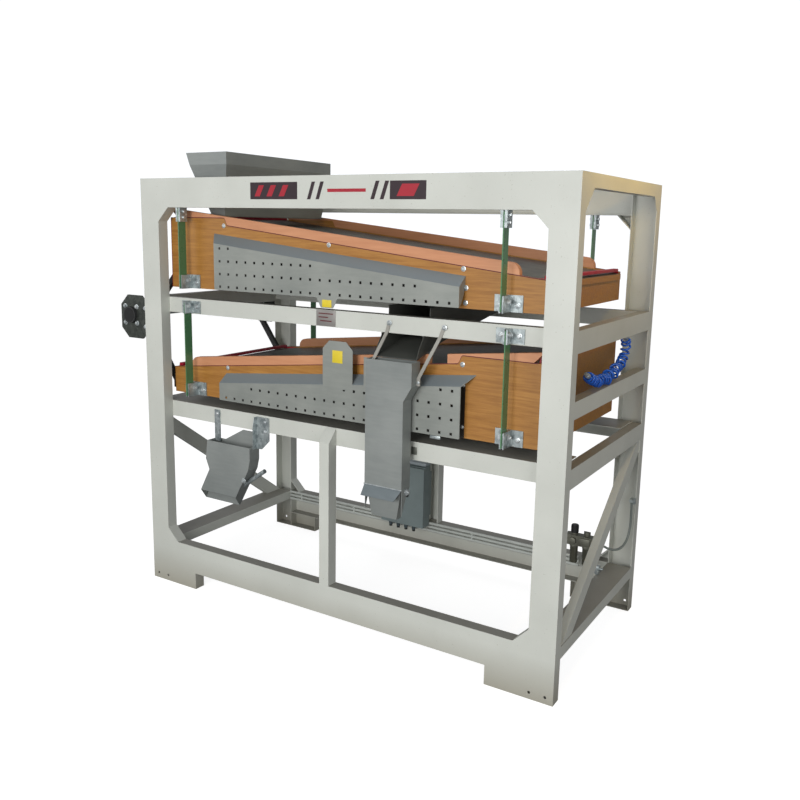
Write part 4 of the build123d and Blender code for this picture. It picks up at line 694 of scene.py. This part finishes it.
# Small chute: screws of its hangers and nut of its clamp handle
trim = Shape()
for x, z in ((374, 815), (640, 812), (640, 772)):
    trim.dome_screw((x, 45, z), (0, -1, 0), 6)
trim.washer_bolt((560, 0, 560), (0, -1, 0), 13, 11, 7)
trim.done("small_chute_trim", "frame", FINISHES["zinc_bright"])

# Middles of the eccentric shaft and of the motor above it
DRIVE_X = -112
SHAFT_Z = 1209
MOTOR_Z = 1385
# Bolts of each bearing: distance from the shaft, and the heights of those that hold its plate
BEARING_BOLT_REACH = 52
PLATE_BOLT_X = -20
PLATE_BOLT_HEIGHTS = (1160, 1242)

trim = Shape()
for face, out in ((21, -1), (DEPTH - 21, 1)):
    for turn in range(4):
        angle = math.radians(45 + 90 * turn)
        bolt_x = DRIVE_X + BEARING_BOLT_REACH * math.cos(angle)
        bolt_z = SHAFT_Z + BEARING_BOLT_REACH * math.sin(angle)
        trim.washer_bolt((bolt_x, face, bolt_z), (0, out, 0), 13, 11, 7)
    for z in PLATE_BOLT_HEIGHTS:
        trim.washer_bolt((PLATE_BOLT_X, face, z), (0, out, 0), 13, 11, 7)
trim.done("bearing_bolts", "frame", FINISHES["zinc_bright"])
rings = Shape()
for face, out in ((6.5, -1), (DEPTH - 6.5, 1)):
    rings.rod((DRIVE_X, face, SHAFT_Z), (DRIVE_X, face + out * 1.5, SHAFT_Z), 31, 40, tip=29)
rings.done("bearing_seals", "frame", FINISHES["black_rubber"])

# Motor: fins on all but its underside, fan cowl and terminal box
FIN_COUNT = 24
FIN_REACH = 61
LOWEST_FIN = -0.6
motor_y = low("motor").y
fins = Shape()
for number in range(FIN_COUNT):
    angle = math.tau * number / FIN_COUNT
    if math.sin(angle) > LOWEST_FIN:
        fin_x = DRIVE_X + FIN_REACH * math.cos(angle)
        fin_z = MOTOR_Z + FIN_REACH * math.sin(angle)
        fins.rod((fin_x, motor_y + 40, fin_z), (fin_x, motor_y + 160, fin_z), 3.2, 8)
fins.rod((DRIVE_X, motor_y + 2, MOTOR_Z), (DRIVE_X, motor_y + 34, MOTOR_Z), 64.5, 48, round_edge=3)
fins.box(DRIVE_X - 32, DRIVE_X + 32, motor_y + 60, motor_y + 130, MOTOR_Z + 58, MOTOR_Z + 84, 3)
fins.done("motor_fins", "frame", FINISHES["motor_grey"])

# Electric box: lock of the lid, roof hood and gland nuts
LOCK_INSET = 90
LOCK_Z = 340
GLAND_COUNT = 4
GLAND_INSET, GLAND_PITCH = 36, 44
GLAND_Y = 831
box_low, box_high = low("control_box"), high("control_box")
lid_y = low("box_lid").y
lock_x = high("box_lid").x - LOCK_INSET
trim = Shape()
trim.rod((lock_x, lid_y + 0.5, LOCK_Z), (lock_x, lid_y - 7, LOCK_Z), 9, 24, round_edge=1)
trim.box(lock_x - 2, lock_x + 2, lid_y - 8.5, lid_y - 6.5, LOCK_Z - 7, LOCK_Z + 7, 0.4)
trim.done("box_lock", "box_lid_panel", FINISHES["black_plastic"])
box_piece("box_roof_hood", "frame", "hood_grey", box_low.x - 2, box_high.x + 2, lid_y + 13, box_high.y - 1,
          box_high.z - 4, box_high.z + 10, 2)
nuts = Shape()
for number in range(GLAND_COUNT):
    x = box_low.x + GLAND_INSET + GLAND_PITCH * number
    nuts.upright(x, GLAND_Y, box_low.z - 0.2, box_low.z - 10, 13, 6, round_edge=0.8)
    nuts.upright(x, GLAND_Y, box_low.z - 10, box_low.z - 26, 11, 16, tip=8.6)
nuts.done("gland_nuts", "frame", FINISHES["gland_grey"])

# Compressed air unit: gauge stub, castings, rings of the knob and drain valve
REGULATOR_X, FILTER_X = 1735, 1790
AIR_UNIT_Y, AIR_UNIT_Z = 780, 312
KNOB_RINGS = 6
VALVE_Y, VALVE_Z = 727, 226
cast = Shape()
cast.rod((REGULATOR_X, 759, AIR_UNIT_Z), (REGULATOR_X, 748, AIR_UNIT_Z), 15, 28, round_edge=1.5)
cast.box(1760, 1812, 752, 800, 296, 330, 4)
cast.upright(FILTER_X, AIR_UNIT_Y, 330, 352, 11, 20, round_edge=1.5)
for x in (REGULATOR_X, FILTER_X):
    cast.upright(x, AIR_UNIT_Y, 280, 291, 19, 28, round_edge=2)
cast.rod((1701, AIR_UNIT_Y, AIR_UNIT_Z), (1690, AIR_UNIT_Y, AIR_UNIT_Z), 8, 6, round_edge=1)
cast.done("air_unit_castings", "frame", FINISHES["cast_alloy"])
cap = Shape()
for number in range(KNOB_RINGS):
    rise = number * 4.6
    cap.upright(REGULATOR_X, AIR_UNIT_Y, 346 + rise, 349 + rise, 16.6, 24)
cap.upright(REGULATOR_X, AIR_UNIT_Y, 374, 378, 14, 24, round_edge=1.2)
cap.done("knob_rings", "regulator_knob", FINISHES["black_plastic"])
valve = Shape()
valve.box(1846, 1870, 716, 738, 205, 238, 2)
valve.upright(1858, VALVE_Y, 200.5, 206, 9, 6)
for start, end in ((1846, 1828), (1870, 1884)):
    valve.rod((start, VALVE_Y, VALVE_Z), (end, VALVE_Y, VALVE_Z), 6, 16)
valve.done("drain_valve", "frame", FINISHES["zinc"])


# Cords: control points of their routes from the fixed end, radii and turns in metres
HOSE_ROUTE = ((1936, 650, 1212), (1931, 672, 1189), (1928, 682, 1159), (1926, 673, 1133), (1926, 644, 1117),
              (1928, 597, 1107), (1932, 538, 1097), (1936, 464, 1089), (1938, 392, 1087), (1938, 326, 1091),
              (1938, 270, 1104), (1938, 226, 1125))
TUBE_ROUTE = ((1950, 850, 500), (1950, 852, 452), (1950, 856, 400), (1947, 846, 350), (1940, 818, 317),
              (1924, 784, 303), (1896, 762, 305), (1862, 774, 311), (1821, 778, 312))
TUBE_RADIUS = 0.005
HOSE_RADIUS = 0.0042
COIL_RADIUS, COIL_PITCH = 0.0165, 0.023
POINTS_PER_TURN = 12
# How far the coil strays from its route along x, y and z, each with the angle that it gains per point
COIL_DRIFT = ((0.003, 0.11), (0.005, 0.07), (0.005, 0.13))
# Share by which the coil widens and narrows, with the angle that it gains per point
COIL_SWELL = (0.16, 0.29)


def route(points):
    """A route's points in metres."""
    return [at(*point) for point in points]


def spline_object(name, points, radius):
    """Curve of one open NURBS spline through its route's control points."""
    curve = bpy.data.curves.new(name, "CURVE")
    curve.dimensions = "3D"
    curve.bevel_depth = radius
    curve.bevel_resolution = 4
    curve.use_fill_caps = True
    spline = curve.splines.new("NURBS")
    spline.points.add(len(points) - 1)
    for knot, point in zip(spline.points, points):
        knot.co = (*point, 1)
    spline.order_u = 3
    spline.use_endpoint_u = True
    spline.resolution_u = 6
    holder = bpy.data.objects.new(name, curve)
    bpy.context.scene.collection.objects.link(holder)
    return holder


def centreline(points):
    """Points read from the route's own spline, with no thickness."""
    guide = spline_object("guide", points, 0)
    guide.data.use_fill_caps = False
    line = bpy.data.meshes.new_from_object(guide.evaluated_get(bpy.context.evaluated_depsgraph_get()))
    found = [vertex.co.copy() for vertex in line.vertices]
    bpy.data.objects.remove(guide)
    return found


def line_length(points):
    """Length of a line through points."""
    return sum((last - first).length for first, last in zip(points, points[1:]))


tube = spline_object("grey_air_tube", route(TUBE_ROUTE), TUBE_RADIUS)
tube.data.materials.append(FINISHES["grey_tube"])
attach(tube, "frame")
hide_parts("loop_tube")
line_length(centreline(route(TUBE_ROUTE)))


def helix(points):
    """Turns about a route, kept square to it from end to end, looser in the middle than at the ends."""
    total = line_length(points)
    steps = round(total / COIL_PITCH) * POINTS_PER_TURN
    swell, swell_rate = COIL_SWELL
    found = []
    side = Vector((1, 0, 0))
    walked = 0
    index = 0
    for number in range(steps + 1):
        goal = total * number / steps
        while index < len(points) - 2 and walked + (points[index + 1] - points[index]).length < goal:
            walked += (points[index + 1] - points[index]).length
            index += 1
        way = points[index + 1] - points[index]
        centre = points[index] + way * min(1, (goal - walked) / way.length)
        slack = math.sin(math.pi * number / steps)
        centre = centre + slack * Vector([size * math.sin(number * rate) for size, rate in COIL_DRIFT])
        way.normalize()
        side = (side - way * side.dot(way)).normalized()
        angle = math.tau * number / POINTS_PER_TURN
        reach = COIL_RADIUS * (1 + swell * slack * math.sin(number * swell_rate))
        found.append(centre + reach * (side * math.cos(angle) + way.cross(side) * math.sin(angle)))
    return found


turns = helix(centreline(route(HOSE_ROUTE)))
hose = spline_object("spiral_hose", turns, HOSE_RADIUS)
hose.data.bevel_resolution = 2
hose.data.resolution_u = 2
hose.data.materials.append(FINISHES["blue_hose"])
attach(hose, "frame")
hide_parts("blue_hose")
line_length(centreline(turns))
ends = Shape()
ends.rod((1938, 236, 1121), (1938, 219, 1129), 9, 20, round_edge=1)
ends.rod((1938, 219, 1129), (1938, 205, 1136), 7, 6, round_edge=0.6)
ends.rod((1936, 650, 1224), (1936, 656, 1206), 9, 20, round_edge=1)
ends.done("hose_fittings", "frame", FINISHES["zinc_bright"])


# Studio: what the camera sees of the floor and the world is brighter than what they cast on the machine
FLOOR_SIZE = 14
FLOOR_SEEN, FLOOR_CAST = (0.45, 0.45, 0.45, 1), (0.30, 0.30, 0.30, 1)
FLOOR_GLOW = 0.86
WORLD_SEEN, WORLD_CAST = 1.1, 0.34


def studio():
    """White floor and an even white world."""
    mesh = bpy.data.meshes.new("studio_floor")
    shape = bmesh.new()
    bmesh.ops.create_grid(shape, x_segments=1, y_segments=1, size=FLOOR_SIZE)
    shape.to_mesh(mesh)
    shape.free()
    floor = bpy.data.objects.new("studio_floor", mesh)
    bpy.context.scene.collection.objects.link(floor)
    finish = Finish("studio_white")
    finish.rough(0.9)
    finish.shader.inputs["Specular IOR Level"].default_value = 0
    finish.shader.inputs["Emission Color"].default_value = (1, 1, 1, 1)
    path = finish.nodes.new("ShaderNodeLightPath")
    seen = finish.math("MAXIMUM", path.outputs["Is Camera Ray"], path.outputs["Is Transmission Ray"])
    finish.colour(finish.mix(seen, FLOOR_CAST, FLOOR_SEEN))
    finish.links.new(finish.math("MULTIPLY", seen, FLOOR_GLOW), finish.shader.inputs["Emission Strength"])
    mesh.materials.append(finish.material)

    world = bpy.data.worlds.new("studio_world")
    world.use_nodes = True
    nodes, links = world.node_tree.nodes, world.node_tree.links
    back = nodes["Background"]
    back.inputs["Color"].default_value = (0.95, 0.97, 1, 1)
    rays = nodes.new("ShaderNodeLightPath")
    seen = nodes.new("ShaderNodeMath")
    seen.operation = "MAXIMUM"
    links.new(rays.outputs["Is Camera Ray"], seen.inputs[0])
    links.new(rays.outputs["Is Transmission Ray"], seen.inputs[1])
    strength = nodes.new("ShaderNodeMapRange")
    strength.inputs["To Min"].default_value = WORLD_CAST
    strength.inputs["To Max"].default_value = WORLD_SEEN
    links.new(seen.outputs["Value"], strength.inputs["Value"])
    links.new(strength.outputs["Result"], back.inputs["Strength"])
    bpy.context.scene.world = world


# Softboxes: place in metres, width, power; all aim at the machine's middle
SOFTBOXES = {"key_softbox": ((0.6, -6.4, 2.0), 2.8, 238),
             "left_softbox": ((-4.2, -3.6, 2.4), 2.2, 26),
             "right_softbox": ((4.4, -3.4, 1.8), 2.4, 46),
             "overhead_softbox": ((0.2, 0.6, 4.8), 3.0, 20)}
MIDDLE = Vector((0, 0, 1.0))
WARM_STRIP_PLACE = (2330, 470, 2010)
WARM_STRIP_TILT = math.radians(60)
WARM_STRIP_COLOUR = (1, 0.60, 0.05)


def lamp(name, place, turn, power, width, height=None):
    """Area light, square where no height is given."""
    light = bpy.data.lights.new(name, "AREA")
    light.shape = "RECTANGLE" if height else "SQUARE"
    light.size = width
    if height:
        light.size_y = height
    light.energy = power
    holder = bpy.data.objects.new(name, light)
    holder.matrix_world = Matrix.Translation(place) @ turn
    bpy.context.scene.collection.objects.link(holder)
    return holder


studio()
for name, (place, width, power) in SOFTBOXES.items():
    aim = (MIDDLE - Vector(place)).to_track_quat("-Z", "Y")
    lamp(name, place, aim.to_matrix().to_4x4(), power, width)
warm = lamp("warm_strip", at(*WARM_STRIP_PLACE), Matrix.Rotation(WARM_STRIP_TILT, 4, "Y"), 2.6, 0.06, 0.95)
warm.data.color = WARM_STRIP_COLOUR
warm.visible_camera = False

bpy.context.scene.view_settings.view_transform = "Standard"
